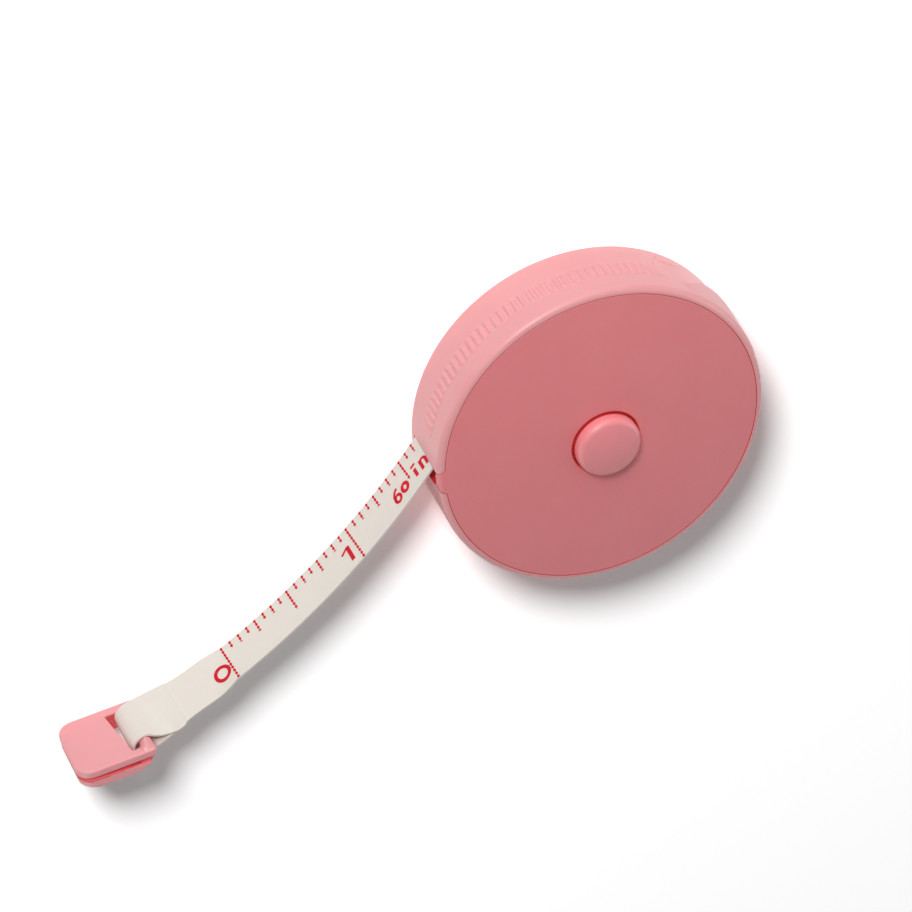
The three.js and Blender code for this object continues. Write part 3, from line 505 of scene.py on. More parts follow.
@dataclass(frozen=True)
class CoatedCloth(Finish):
    """Plain-woven fibre cloth, coated with soft vinyl: a dull skin that the threads show through."""

    relief: float = 0.5
    relief_mm: float = 0.02
    bleed: float = 0.2
    bleed_mm: Triple = (0.8, 0.55, 0.4)
    thread_mm: float = 0.37
    drift_mm: float = 7.0
    valley: str = ""
    valley_heights: Point = (0.12, 0.5)

    def weave(self, tree: Tree) -> Socket:
        """Adds the weave, whose threads of two directions lie over each other in turn.

        Args:
            tree: The material's node tree.

        Returns:
            The height of the threads, from 0 to 1.
        """
        split = add_node(tree, "SeparateXYZ", links={"Vector": add_node(tree, "UVMap").outputs["UV"]})
        per_thread = {"operation": "MULTIPLY", 1: math.pi / self.thread_mm}
        waves = {}
        for index, axis in enumerate(("X", "Y")):
            turns = add_node(tree, "Math", per_thread, {0: split.outputs[axis]})
            wave = add_node(tree, "Math", {"operation": "SINE"}, {0: turns.outputs["Value"]})
            waves[index] = wave.outputs["Value"]
        crossing = add_node(tree, "Math", {"operation": "MULTIPLY"}, waves)
        raised = add_node(tree, "Math", {"operation": "ABSOLUTE"}, {0: crossing.outputs["Value"]})
        return raised.outputs["Value"]

    def material(self) -> Material:
        """Makes the material: coated weave, with faint drifts of tone.

        Returns:
            The material.
        """
        tree, shader, made = self.start()
        height = self.weave(tree)
        drift = self.mottle(tree, self.drift_mm, detail=3.0)
        tone = self.blended(tree, drift, start=0.35, tones=(self.colour, self.second))
        if self.valley:
            # Print takes badly between the threads, so the cloth shows through there
            low, high = self.valley_heights
            gap = add_node(tree, "MapRange", {"From Min": low, "From Max": high}, {"Value": height})
            between = {"data_type": "RGBA", MIX_FIRST: linear(self.valley)}
            mixed = add_node(tree, "Mix", between, {0: gap.outputs["Result"], MIX_SECOND: tone})
            tone = mixed.outputs[MIX_RESULT]
        self.lay(tree, shader, tone, height)
        return made


@dataclass(frozen=True)
class InnerSkin(Finish):
    """A finish of the inner works, with streaks or grain of its own."""

    grain_mm: float = 0.4
    stretch: float = 1.0
    metallic: float = 0.0

    def material(self) -> Material:
        """Makes the material: two close tones in grain, and a little relief.

        Returns:
            The material.
        """
        tree, shader, made = self.start()
        grain = self.mottle(tree, self.grain_mm, detail=4.0, stretch=self.stretch)
        tone = self.blended(tree, grain, start=0.3, tones=(self.second, self.colour))
        self.lay(tree, shader, tone, grain)
        shader.inputs["Metallic"].default_value = self.metallic
        return made


# Case ABS: moulded satin, so the light runs off it in broad soft bands; its pink is paler than the cover's
# partly as its own tone and partly as a painted sheen for its lit walls
CASE_ABS = MouldedAbs("satin_pink_abs", "#F2AAAC", "#F0A6A9", 0.38)
# Cover ABS: a second moulding of a stronger pink, a little duller than the case; the gap in tone between
# them is partly painted sheen on the case
COVER_ABS = MouldedAbs("cover_pink_abs", "#F38F93", "#F18B90", 0.42)
# Button ABS: a moulding as satin as the case, in a pink between case and cover
BUTTON_ABS = MouldedAbs("smooth_pink_abs", "#F5999E", "#F4959A", 0.38)
# Tab ABS: moulded thick and blunt, a little glossier than the case all over
TAB_ABS = MouldedAbs("tab_pink_abs", "#F2A8AB", "#F0A4A8", 0.36)
# Tab gap ABS: painted shade, a deeper red laid on the faces in the slot, round the bar and in the groove,
# with a faint painted glow
TAB_GAP_SHADE_ABS = MouldedAbs("tab_gap_painted_shade", "#E45C60", "#E0585C", 0.6, painted_glow=0.08)
# Gap ABS: painted shade, a deep red laid on the hidden faces of the mouth, the seams and the button's gap,
# with a faint painted glow
GAP_SHADE_ABS = MouldedAbs("deep_gap_painted_shade", "#BE2A2F", "#B9262B", 0.6, painted_glow=0.2)
# Coated cloth: off-white vinyl over a plain weave, dull with a faint thread relief
TAPE_CLOTH = CoatedCloth("coated_glass_cloth", "#EAE3D9", "#ECE4DB", 0.62)
# Printing ink on the cloth: opaque red that skips the hollows between the threads
TAPE_INK = CoatedCloth(
    "red_printing_ink", "#E8061F", "#EA0820", 0.6, relief_mm=0.01, ior=1.25, valley="#E02A3E"
)
# Acetal: moulded white resin, waxy and slightly mottled
ACETAL = InnerSkin("white_acetal", "#EFEEE9", "#E2E0D8", 0.4, grain_mm=1.2)
# Spring steel: cold-rolled blue-grey strip, with fine streaks along the roll
SPRING_STEEL = InnerSkin(
    "rolled_spring_steel", "#A9ACB0", "#85888E", 0.32, grain_mm=0.5, stretch=8.0, metallic=1.0
)
# Brake rubber: cut from moulded sheet, matt and near black
BRAKE_RUBBER = InnerSkin("brake_rubber", "#2E2D2C", "#1F1E1E", 0.85, grain_mm=0.3)
# Washer film: punched polyester sheet, amber and smooth
WASHER_FILM = InnerSkin("washer_film", "#D9C48C", "#CDB67B", 0.35, grain_mm=2.0)


# Case


@dataclass(frozen=True)
class CaseShell:
    """The rear half of the case: wall, floor, arbor, grip ribs, finger pad and mouth.

    A flank or an end holds the two places between which a form rises or dies away.
    """

    radius: float = 25.0
    thickness: float = 12.6
    floor: float = 1.2
    floor_rings: Point = (8.0, 16.0)
    wall_inner: float = 23.2
    wall_steps: int = 96
    draft: float = 0.33
    rear_edge: float = 1.4
    front_edge: float = 1.0
    edge_steps: int = 12
    edge_margin: float = 0.05
    seat_radius: float = 23.9
    seat_z: float = 11.4
    lip_edge: float = 0.09
    lip_lit_share: float = 0.7
    groove: Point = (9.2, 10.0)
    groove_depth: float = 0.35
    arbor_foot: Point = (5.2, 1.8)
    arbor_radius: float = 3.8
    arbor_bore: float = 2.7
    arbor_top: float = 7.0
    rib_first: float = 66.9
    rib_last: float = 170.6
    rib_pitch: float = 2.803
    rib_height: float = 0.15
    rib_flank: Point = (0.14, 0.42)
    rib_ends: tuple[Point, Point] = ((5.65, 6.0), (8.6, 8.85))
    pocket_depth: float = 0.08
    pocket_flank: Point = (0.12, 0.34)
    pocket_ends: tuple[Point, Point] = ((5.75, 6.25), (8.45, 8.7))
    rail_z: float = 8.75
    rail_height: float = 0.05
    rail_flank: Point = (0.06, 0.21)
    rail_overhang: float = 0.4
    skin: float = 0.2
    pad_degrees: float = 36.0
    pad_radius: float = 21.0
    pad_height: float = 0.34
    pad_step: float = 0.24
    pad_end: Point = (56.8, 57.9)
    pad_ridge: Knots = (
        (33.0, 6.8), (36.7, 6.0), (41.3, 6.2), (45.8, 6.8), (51.5, 8.0), (57.6, 9.7), (62.0, 11.0),
    )
    pad_rear_foot: Knots = ((33.0, 3.0), (41.0, 3.0), (50.0, 3.3), (55.1, 4.4), (57.3, 6.4), (62.0, 9.0))
    pad_front_foot: Knots = (
        (33.0, 12.2), (45.0, 12.6), (51.7, 12.3), (55.2, 11.4), (57.3, 10.2), (62.0, 11.2),
    )
    pad_least_flank: float = 0.3
    pad_rear_power: float = 0.55
    pad_front_power: float = 1.1
    dimple_place: Point = (58.0, 4.1)
    dimple_reach: Point = (2.2, 0.7)
    dimple_depth: float = 0.2
    scoop_line: Knots = ((2.6, 61.6), (4.7, 64.4), (7.0, 66.0), (8.6, 65.4), (10.5, 63.0))
    scoop_heights: Point = (2.6, 9.6)
    scoop_flank: Point = (0.04, 0.22)
    scoop_depth: float = 0.13
    mouth_lip_offset: float = -0.28
    mouth_lower_degrees: float = 187.7
    mouth_floor: float = 2.3
    mouth_roof: float = 10.3
    mouth_step: Point = (-4.0, -0.2)
    mouth_skin: float = 0.02
    mouth_reach: float = 8.0
    parting: float = 0.2
    overrun: float = 1.0
    azimuth_steps: tuple[Triple, ...] = (
        (-2.0, 65.0, 0.4), (65.0, 174.0, 0.175), (174.0, 192.0, 0.5), (192.0, 358.0, 1.5),
    )
    lip_steps: int = 6
    crisp_degrees: float = 28.0

    def wall_radius(self, z: np.ndarray) -> np.ndarray:
        """Returns the drafted wall's radius at heights."""
        return self.radius - self.draft * (self.thickness - z) / self.thickness

    def profile(self) -> Path:
        """Lists the shell's outline, from the axis round to the axis.

        Returns:
            Points of radius and height.
        """
        rear, steps = self.radius - self.draft, self.edge_steps
        wall_low, wall_high = self.rear_edge, self.thickness - self.front_edge
        foot_radius, foot_top = self.arbor_foot
        groove_low, groove_high = self.groove
        inner = self.wall_inner
        groove = (inner, groove_high, inner + self.groove_depth, groove_low)
        arbor = (foot_radius, foot_top, self.arbor_radius, self.arbor_top, self.arbor_bore)
        return [
            (0, 0),
            *[(ring, 0) for ring in self.floor_rings],
            *arc((rear - self.rear_edge, self.rear_edge), self.rear_edge, -90, 0, steps),
            *[(self.radius, z) for z in span(wall_low, wall_high, self.wall_steps)[1:-1]],
            *arc((self.radius - self.front_edge, wall_high), self.front_edge, 0, 90, steps),
            (self.seat_radius + self.lip_edge, self.thickness),
            (self.seat_radius, self.thickness - self.lip_edge),
            *stairs(self.seat_radius, self.seat_z, *groove, inner, self.floor, *arbor, self.floor, 0),
        ]

    def rib_relief(self, azimuth: np.ndarray, z: np.ndarray) -> np.ndarray:
        """Works out the grip's relief: ribs, sunk pockets between them and a front rail.

        Args:
            azimuth: The points' directions, in degrees.
            z: The points' heights.

        Returns:
            How far each point stands out of the wall, in millimetres.
        """
        along = (azimuth - self.rib_first) / self.rib_pitch
        last = round((self.rib_last - self.rib_first) / self.rib_pitch)
        pitch = math.radians(self.rib_pitch) * self.radius
        off = np.abs(along - np.clip(np.round(along), 0, last)) * pitch
        rib = (1 - smoothstep(*self.rib_flank, off)) * window(*self.rib_ends, z)
        middle = 1 - smoothstep(*self.pocket_flank, np.abs(off - pitch / 2))
        pocket = middle * window(*self.pocket_ends, z) * ((along > 0) & (along < last))
        rail = 1 - smoothstep(*self.rail_flank, np.abs(z - self.rail_z))
        railed = (along > -self.rail_overhang) & (along < last + self.rail_overhang)
        return self.rib_height * rib - self.pocket_depth * pocket + self.rail_height * rail * railed

    def pad_relief(self, azimuth: np.ndarray, z: np.ndarray) -> np.ndarray:
        """Works out the finger pad's relief: a ridge with two flanks, a dimple and a scooped line.

        Args:
            azimuth: The points' directions, in degrees.
            z: The points' heights.

        Returns:
            How far each point stands out of the wall, in millimetres.
        """
        turn = np.abs(azimuth - self.pad_degrees)
        centre = self.radius + self.pad_height - self.pad_radius
        reach = self.pad_radius**2 - (centre * np.sin(np.radians(turn))) ** 2
        crest = centre * np.cos(np.radians(turn)) + np.sqrt(np.maximum(reach, 0)) - self.radius
        folded = self.pad_degrees + turn
        within = 1 - smoothstep(*self.pad_end, folded)
        height = (np.maximum(crest, 0) + self.pad_step * within) * within
        ridge = curve_through(self.pad_ridge, folded)
        rear = np.maximum(ridge - curve_through(self.pad_rear_foot, folded), self.pad_least_flank)
        front = np.maximum(curve_through(self.pad_front_foot, folded) - ridge, self.pad_least_flank)
        behind = 1 - np.clip((ridge - z) / rear, 0, 1) ** self.pad_rear_power
        before = 1 - np.clip((z - ridge) / front, 0, 1) ** self.pad_front_power
        per_degree = math.radians(1) * self.radius
        long, short = self.dimple_reach
        out, up = (azimuth - self.dimple_place[0]) * per_degree / long, (z - self.dimple_place[1]) / short
        dimple = np.clip(1 - out**2 - up**2, 0, 1)
        off = np.abs(azimuth - curve_through(self.scoop_line, z)) * per_degree
        low, high = self.scoop_heights
        scoop = (1 - smoothstep(*self.scoop_flank, off)) * ((z > low) & (z < high))
        return height * behind * before - self.dimple_depth * dimple - self.scoop_depth * scoop

    def is_inside(self, centres: np.ndarray) -> np.ndarray:
        """Says which faces lie inside the case, in its mouth or on the seam's lip, where shade is painted.

        Args:
            centres: The face centres, in millimetres.

        Returns:
            Whether each face is hidden from direct light.
        """
        radius, z = np.hypot(centres[:, 0], centres[:, 1]), centres[:, 2]
        in_mouth = np.abs(azimuths_of(centres) - self.mouth_lower_degrees) < self.mouth_reach
        skin = np.where(in_mouth, self.mouth_skin, self.skin)
        under_skin = radius < self.wall_radius(z) - skin
        lip = (radius < self.seat_radius + self.lip_edge * self.lip_lit_share) & (z > self.seat_z)
        above_floor = (z > self.floor - self.skin) & (z < self.thickness - 2 * self.lip_edge)
        rounded = (z < self.rear_edge) & (radius > self.wall_inner)
        brow = (z > self.thickness - self.front_edge) & (radius > self.seat_radius + self.lip_edge)
        return (under_skin & above_floor & ~rounded & ~brow) | lip

    def shape_wall(self, shell: Piece) -> None:
        """Moves the wall's points to their draft, and out to the ribs and the pad.

        Args:
            shell: The turned shell, in millimetres.
        """
        points = np.empty(len(shell.data.vertices) * 3)
        shell.data.vertices.foreach_get("co", points)
        points = points.reshape(-1, 3)
        radius, azimuth, z = np.hypot(points[:, 0], points[:, 1]), azimuths_of(points), points[:, 2]
        lift = self.rib_relief(azimuth, z) + self.pad_relief(azimuth, z)
        wall_high = self.thickness - self.front_edge + self.edge_margin
        wall = (radius > self.radius - MERGE) & (z > self.rear_edge) & (z < wall_high)
        target = np.where(wall, self.wall_radius(z) + lift, radius)
        brow = (radius > self.radius - self.front_edge) & (z >= wall_high)
        target = np.where(brow, radius + np.maximum(lift, 0) * (self.thickness - z), target)
        share = np.where(radius > SMALL, target / np.maximum(radius, SMALL), 1)
        points[:, :2] *= share[:, None]
        shell.data.vertices.foreach_set("co", points.ravel())
        shell.data.update()

    def cut_mouth(self, shell: Piece) -> None:
        """Cuts the mouth, the step in its lower side and the notch for the cover's tongue.

        Args:
            shell: The shell, in millimetres.
        """
        inner, outer = self.wall_inner - self.overrun, self.radius + self.overrun
        places = span(inner, outer, self.lip_steps)
        lip = [TapePath().at_radius(place, self.mouth_lip_offset) for place in places]
        lower = self.mouth_lower_degrees
        mouth = [*lip, polar(outer, lower), polar(inner, lower)]
        start, end = (lower + turn for turn in self.mouth_step)
        step = [polar(inner, start), polar(outer, start), polar(outer, end), polar(inner, end)]
        cover, step_low = FrontCover(), self.mouth_roof - self.parting
        for outline, low, high in (
            (mouth, self.mouth_floor, self.mouth_roof),
            (step, step_low, cover.tongue_low),
            (cover.tongue_outline(self.parting), step_low, self.thickness + self.overrun),
        ):
            combine(shell, prism("mouth_cut", outline, low, high), Cut.TAKE)

    def build(self) -> Piece:
        """Builds the shell with its ribs, pad, mouth and notch.

        Returns:
            The shell.
        """
        azimuths = np.concatenate([np.arange(*stretch) for stretch in self.azimuth_steps])
        shell = lathe("case_shell", self.profile(), azimuths)
        self.shape_wall(shell)
        self.cut_mouth(shell)
        finish_off(shell, CASE_ABS.material(), self.crisp_degrees)
        # Painted shade: the faces inside the case, in the mouth and on the seam's lip take the deep red gap
        # finish
        paint_shade_within(shell, GAP_SHADE_ABS.material(), self.is_inside(face_centres(shell) / MM))
        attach(shell, "case")
        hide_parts("rear_shell")
        return shell


@dataclass
class FrontCover:
    """The crowned front cover, with the tongue that closes the mouth."""

    case: CaseShell = CaseShell()
    radius: float = 23.89
    seat_z: float = 11.45
    seat_inner: float = 22.4
    crown: float = 1.5
    under_crown: float = 1.4
    hole_radius: float = 5.15
    rim_edge: float = 0.12
    rim_lit_shares: Point = (0.8, 0.3)
    hole_edge: float = 0.3
    tongue_low: float = 11.65
    tongue_inner: float = 23.05
    tongue_root: Point = (179.4, 188.9)
    tongue_tip: Point = (181.4, 186.1)
    tongue_heel: Point = (24.7, 187.9)
    thrust_rib: Triple = (7.4, 8.2, 11.1)
    rib_overlap: float = 0.1
    hook_degrees: tuple[float, ...] = (20.0, 105.0, 240.0, 310.0)
    hook_span: float = 14.0
    hook_profile: Knots = ((22.4, 9.4), (23.2, 9.5), (23.2, 9.8), (23.0, 9.9), (23.0, 12.0), (22.4, 12.0))
    edge_steps: int = 10
    crown_steps: int = 40
    hole_steps: int = 5
    under_steps: int = 20
    hook_steps: int = 10
    step_degrees: float = 1.0
    rib_step_degrees: float = 3.0
    crisp_degrees: float = 30.0

    def crown_z(self, radius: np.ndarray | float) -> np.ndarray | float:
        """Returns the height of the outer face at a radius."""
        return self.case.thickness + self.crown * (1 - (radius / self.radius) ** 2)

    def under_z(self, radius: float) -> float:
        """Returns the height of the underside at a radius."""
        return self.seat_z + self.under_crown * (1 - (radius / self.seat_inner) ** 2)

    def tongue_outline(self, margin: float) -> Path:
        """Lists the tongue's XY outline.

        Args:
            margin: How far the outline is grown all round.

        Returns:
            The corners, in order.
        """
        spread = math.degrees(margin / self.case.radius)
        inner, outer = self.tongue_inner - margin, self.case.radius + self.case.overrun
        (root_up, root_low), (tip_up, tip_low) = self.tongue_root, self.tongue_tip
        wall = self.case.radius
        upper = [(inner, root_up), (self.radius, root_up), (wall, tip_up), (outer, tip_up)]
        lower = [(outer, tip_low), (wall, tip_low), self.tongue_heel]
        lower += [(self.radius, root_low), (inner, root_low)]
        return [polar(r, a - spread) for r, a in upper] + [polar(r, a + spread) for r, a in lower]

    def profile(self) -> Path:
        """Lists the cover's closed outline.

        Returns:
            Points of radius and height.
        """
        rim, hole = self.rim_edge, self.hole_edge
        top_low = self.crown_z(self.radius - rim)
        hole_side = (self.hole_radius + hole, self.crown_z(self.hole_radius + hole) - hole)
        over = span(self.radius - rim, hole_side[0], self.crown_steps)[1:-1]
        under = span(self.hole_radius, self.seat_inner, self.under_steps)
        return [
            (self.radius, self.seat_z),
            *arc((self.radius - rim, top_low - rim), rim, 0, 90, self.edge_steps),
            *[(r, self.crown_z(r)) for r in over],
            *arc(hole_side, hole, 90, 180, self.hole_steps),
            *[(r, self.under_z(r)) for r in under],
        ]

    def is_under(self, centres: np.ndarray) -> np.ndarray:
        """Says which faces lie under the outer face, in the button's hole or in the rim's seam, where shade
        is painted.

        Args:
            centres: The face centres, in millimetres.

        Returns:
            Whether each face is hidden from direct light.
        """
        width_share, depth_share = self.rim_lit_shares
        radius = np.hypot(centres[:, 0], centres[:, 1])
        rim = radius > self.radius - self.rim_edge * width_share
        depth = np.where(rim, self.rim_edge * depth_share, self.hole_edge)
        return (radius < self.radius + self.rim_edge) & (centres[:, 2] < self.crown_z(radius) - depth)

    def hook(self, degrees: float) -> Piece:
        """Makes one snap hook that holds the cover in the shell's groove.

        Args:
            degrees: The direction of its middle.

        Returns:
            The hook, in millimetres.
        """
        half = self.hook_span / 2
        turned = span(degrees - half, degrees + half, self.hook_steps)
        return loft("snap_hook", [[(*polar(r, a), z) for r, z in self.hook_profile] for a in turned])

    def build(self) -> Piece:
        """Builds the cover with its tongue, thrust rib and snap hooks.

        Returns:
            The cover.
        """
        all_round = np.arange(0, 360, self.step_degrees)
        cover = lathe("cover_disc", self.profile(), all_round)
        inner, outer, low = self.thrust_rib
        high = self.under_z(inner) + self.rib_overlap
        rib = [(outer, low), (outer, high), (inner, high), (inner, low)]
        combine(cover, lathe("thrust_rib", rib, np.arange(0, 360, self.rib_step_degrees)), Cut.JOIN)
        edge, top = self.case.front_edge, self.case.thickness
        shoulder = (self.case.radius - edge, top - edge)
        section = [
            (self.tongue_inner, self.tongue_low),
            (self.case.radius, self.tongue_low),
            *arc(shoulder, edge, 0, 90, self.edge_steps),
            (self.tongue_inner, top),
        ]
        wall = lathe("tongue_wall", section, all_round)
        tongue = prism("tongue_cut", self.tongue_outline(0), 0, top + self.case.overrun)
        combine(wall, tongue, Cut.KEEP)
        for part in (wall, *map(self.hook, self.hook_degrees)):
            combine(cover, part, Cut.JOIN)
        finish_off(cover, COVER_ABS.material(), self.crisp_degrees)
        # Painted shade: the cover's hidden underside, the button's hole and the rim's seam take the deep
        # red gap finish
        paint_shade_within(cover, GAP_SHADE_ABS.material(), self.is_under(face_centres(cover) / MM))
        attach(cover, "case")
        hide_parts("front_cover")
        return cover


@dataclass
class PushButton:
    """The round button with its flange, skirt and stem."""

    radius: float = 4.86
    top_z: float = 16.4
    edge_radius: float = 1.1
    crown_degrees: float = 15.0
    lit_z: float = 14.1
    flange_radius: float = 6.2
    flange: Point = (11.57, 12.37)
    skirt: float = 0.9
    roof: float = 1.35
    stem_radius: float = 2.2
    stem_low: float = 6.9
    stem_edge: float = 0.3
    collar: Triple = (2.9, 9.1, 9.7)
    edge_steps: int = 14
    crown_steps: int = 20
    step_degrees: float = 2.0
    crisp_degrees: float = 36.0

    def build(self) -> Piece:
        """Builds the button as one turned solid.

        Returns:
            The button.
        """
        flat, inner = self.radius - self.edge_radius, self.radius - self.skirt
        low, high = self.flange
        collar_radius, collar_low, collar_high = self.collar
        slope, level = math.radians(self.crown_degrees), 90 - self.crown_degrees
        crown_radius = (flat + self.edge_radius * math.sin(slope)) / math.sin(slope)
        centre = self.top_z - crown_radius
        edge_z = centre + (crown_radius - self.edge_radius) * math.cos(slope)
        roof = self.top_z - self.roof
        stem = (self.stem_radius, collar_low, collar_radius, collar_high, self.stem_radius)
        profile = [
            (0, self.stem_low),
            (self.stem_radius - self.stem_edge, self.stem_low),
            (self.stem_radius, self.stem_low + self.stem_edge),
            *stairs(*stem, roof, inner, low, self.flange_radius, high, self.radius, self.lit_z),
            *arc((flat, edge_z), self.edge_radius, 0, level, self.edge_steps),
            *arc((0, centre), crown_radius, level, 90, self.crown_steps)[1:-1],
            (0, self.top_z),
        ]
        button = lathe("button_cap", profile, np.arange(0, 360, self.step_degrees))
        finish_off(button, BUTTON_ABS.material(), self.crisp_degrees)
        # Painted shade: the button's side below lit_z takes the deep red gap finish, as in the gap round it
        paint_shade_within(button, GAP_SHADE_ABS.material(), face_centres(button)[:, 2] / MM < self.lit_z)
        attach(button, "button")
        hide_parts("push_button")
        return button


@dataclass
class ReturnSpring:
    """The coil spring in the arbor that lifts the button."""

    radius: float = 1.72
    wire: float = 0.36
    turns: int = 5
    low: float = 1.25
    high: float = 6.85
    travel: float = 1.2
    steps_per_turn: int = 24
    sides: int = 10
    crisp_degrees: float = 40.0

    def build(self) -> Piece:
        """Builds the spring at rest, though the real one shortens as the button goes in.

        Returns:
            The spring.
        """
        steps, half = self.turns * self.steps_per_turn, self.wire / 2
        rings = []
        for i, z in enumerate(span(self.low + half, self.high - half, steps)):
            x, y = polar(1, 360 * i / self.steps_per_turn)
            section = arc((self.radius, 0), half, 0, 360, self.sides)[:-1]
            rings.append([(reach * x, reach * y, z + lift) for reach, lift in section])
        spring = loft("return_spring", rings)
        finish_off(spring, SPRING_STEEL.material(), self.crisp_degrees)
        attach(spring, "case")
        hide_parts("button_spring")
        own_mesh(spring)
        return spring


# Tape


@dataclass(frozen=True)
class TapePath:
    """The line that the tape follows in the XY plane, measured along it from the zero line.

    Distances count up towards the pull tab and down towards the case.
    """

    bend_centre: Point = (-117.1915, 63.1011)
    bend_radius: float = 112.3
    zero_degrees: float = 303.8
    low_z: float = 2.55
    width: float = 7.5
    half_thickness: float = 0.15
    hidden: float = -55.8
    bar_along: float = 15.96
    rear_rise: Knots = (
        (0.0, 0.0), (1.4, 0.34), (2.9, 0.66), (4.7, 0.8), (6.6, 0.9), (8.2, 1.15),
        (9.4, 1.34), (11.0, 1.2), (13.0, 0.7), (15.0, 0.12), (15.96, 0.0),
    )
    front_rise: Knots = (
        (0.0, 0.0), (1.5, -0.36), (3.2, -0.6), (5.0, -0.5), (6.7, -0.35),
        (9.2, -0.27), (10.8, -0.45), (13.3, -0.45), (15.2, -0.33), (15.96, -0.3),
    )
    rear_loop: tuple[float, float, float, float] = (1.65, 2.25, 1.65, 100.0)
    front_loop: tuple[float, float, float, float] = (1.25, 2.05, 1.55, 160.0)
    loop_bow: float = 0.3
    rear_tail: Knots = ((9.4, 1.5), (10.5, 1.88), (12.0, 2.33), (12.97, 2.6), (14.4, 3.0), (15.2, 3.13))
    front_tail: Knots = (
        (9.4, -0.1), (10.6, -0.16), (11.5, -0.19), (12.4, -0.05), (13.45, 0.6), (14.2, 1.35),
    )
    tail_end: float = 9.45
    tail_flare: float = 0.55
    flare_shares: Point = (0.35, 0.85)
    tail_corner: float = 0.5
    across_steps: int = 20
    bend_steps: int = 70
    straight_steps: int = 48
    loop_steps: int = 30
    loop_pitch: float = 0.16
    tail_steps: int = 34
    tail_pitch: float = 0.17

    def at_radius(self, radius: float, offset: float) -> Point:
        """Finds where the bend meets a circle round the spool's axis.

        Args:
            radius: The circle's radius.
            offset: How far the bend is moved out of its own centre.

        Returns:
            The XY point.
        """
        x, y = self.bend_centre
        reach, bend = math.hypot(x, y), self.bend_radius + offset
        turn = math.acos((reach**2 + bend**2 - radius**2) / (2 * reach * bend))
        back = math.atan2(-y, -x) - turn
        return (x + bend * math.cos(back), y + bend * math.sin(back))

    def lift(self, along: np.ndarray, across: np.ndarray) -> np.ndarray:
        """Works out how far the twisted end stands off the plain path, towards the print.

        Args:
            along: Distances along the tape.
            across: Distances across it.

        Returns:
            The distance off the path at each place.
        """
        share = across / self.width
        rear, front = curve_through(self.rear_rise, along), curve_through(self.front_rise, along)
        return np.where(along > 0, rear * (1 - share) + front * share, 0)

    def point(self, along: float, side: float, across: float) -> Triple:
        """Finds a point from the tape's own directions.

        Args:
            along: The distance along the plain path.
            side: The distance off it, towards the print.
            across: The distance across the tape, from its rear edge.

        Returns:
            The point in the world, in millimetres.
        """
        x, y = polar(1, self.zero_degrees - math.degrees(min(along, 0) / self.bend_radius))
        out, past = self.bend_radius - side, max(along, 0)
        place_x = self.bend_centre[0] + out * x + past * y
        place_y = self.bend_centre[1] + out * y - past * x
        return (place_x, place_y, self.low_z + across)

    def loop_row(self, share: float, shares: np.ndarray) -> list[Triple]:
        """Makes one row of the loop round the tab's bar, which is wider at its middle.

        Args:
            share: How much of the loop is behind the row.
            shares: The shares of the width where its points lie.

        Returns:
            The points.
        """
        spots = []
        for side, reach, rise, last in (self.rear_loop, self.front_loop):
            turn = math.radians(-90 + (last + 90) * share)
            beyond = reach if math.cos(turn) > 0 else rise
            spots.append(np.array((self.bar_along + beyond * math.cos(turn), side + rise * math.sin(turn))))
        bow = self.loop_bow * max(math.cos(turn), 0)
        row = []
        for portion in shares:
            along, side = spots[0] * (1 - portion) + spots[1] * portion
            row.append(self.point(along + bow * 4 * portion * (1 - portion), side, self.width * portion))
        return row

    def tail_row(self, share: float, shares: np.ndarray) -> list[Triple]:
        """Makes one row of the folded end, which flares and has a rounded corner.

        Args:
            share: How much of the folded end is behind the row.
            shares: The shares of the width where its points lie.

        Returns:
            The points.
        """
        corner = self.tail_corner
        width = self.width + self.tail_flare * float(smoothstep(*self.flare_shares, share))
        row = []
        for portion in shares:
            past = max(portion * width - (width - corner), 0)
            end = self.tail_end + corner - math.sqrt(max(corner**2 - past**2, 0))
            spots = []
            for edge in (self.rear_tail, self.front_tail):
                along = edge[-1][0] + (end - edge[-1][0]) * share
                spots.append(np.array((along, float(curve_through(edge, np.array([along]))[0]))))
            row.append(self.point(*(spots[0] * (1 - portion) + spots[1] * portion), portion * width))
        return row

    def rows(self) -> tuple[np.ndarray, np.ndarray]:
        """Lofts the tape's middle surface between its two edges.

        Returns:
            The grid of points, along by across, and the distance along at each row.
        """
        shares = np.array(span(0, 1, self.across_steps))
        lengths = span(self.hidden, 0, self.bend_steps)[:-1] + span(0, self.bar_along, self.straight_steps)
        grid = []
        for along in lengths:
            lifts = self.lift(np.full(len(shares), along), shares * self.width)
            grid.append([self.point(along, *spot) for spot in zip(lifts, shares * self.width)])
        for make, steps, pitch in (
            (self.loop_row, self.loop_steps, self.loop_pitch),
            (self.tail_row, self.tail_steps, self.tail_pitch),
        ):
            for i in range(1, steps + 1):
                grid.append(make(i / steps, shares))
                lengths.append(lengths[-1] + pitch)
        return np.array(grid), np.array(lengths)


def map_cloth(piece: Piece, places: Sequence[Point]) -> None:
    """Gives a piece of the tape its UV map, in millimetres along and across.

    Args:
        piece: The piece.
        places: The place of each of its points.
    """
    layer = piece.data.uv_layers.new(name="cloth")
    for loop in piece.data.loops:
        layer.data[loop.index].uv = places[loop.vertex_index]


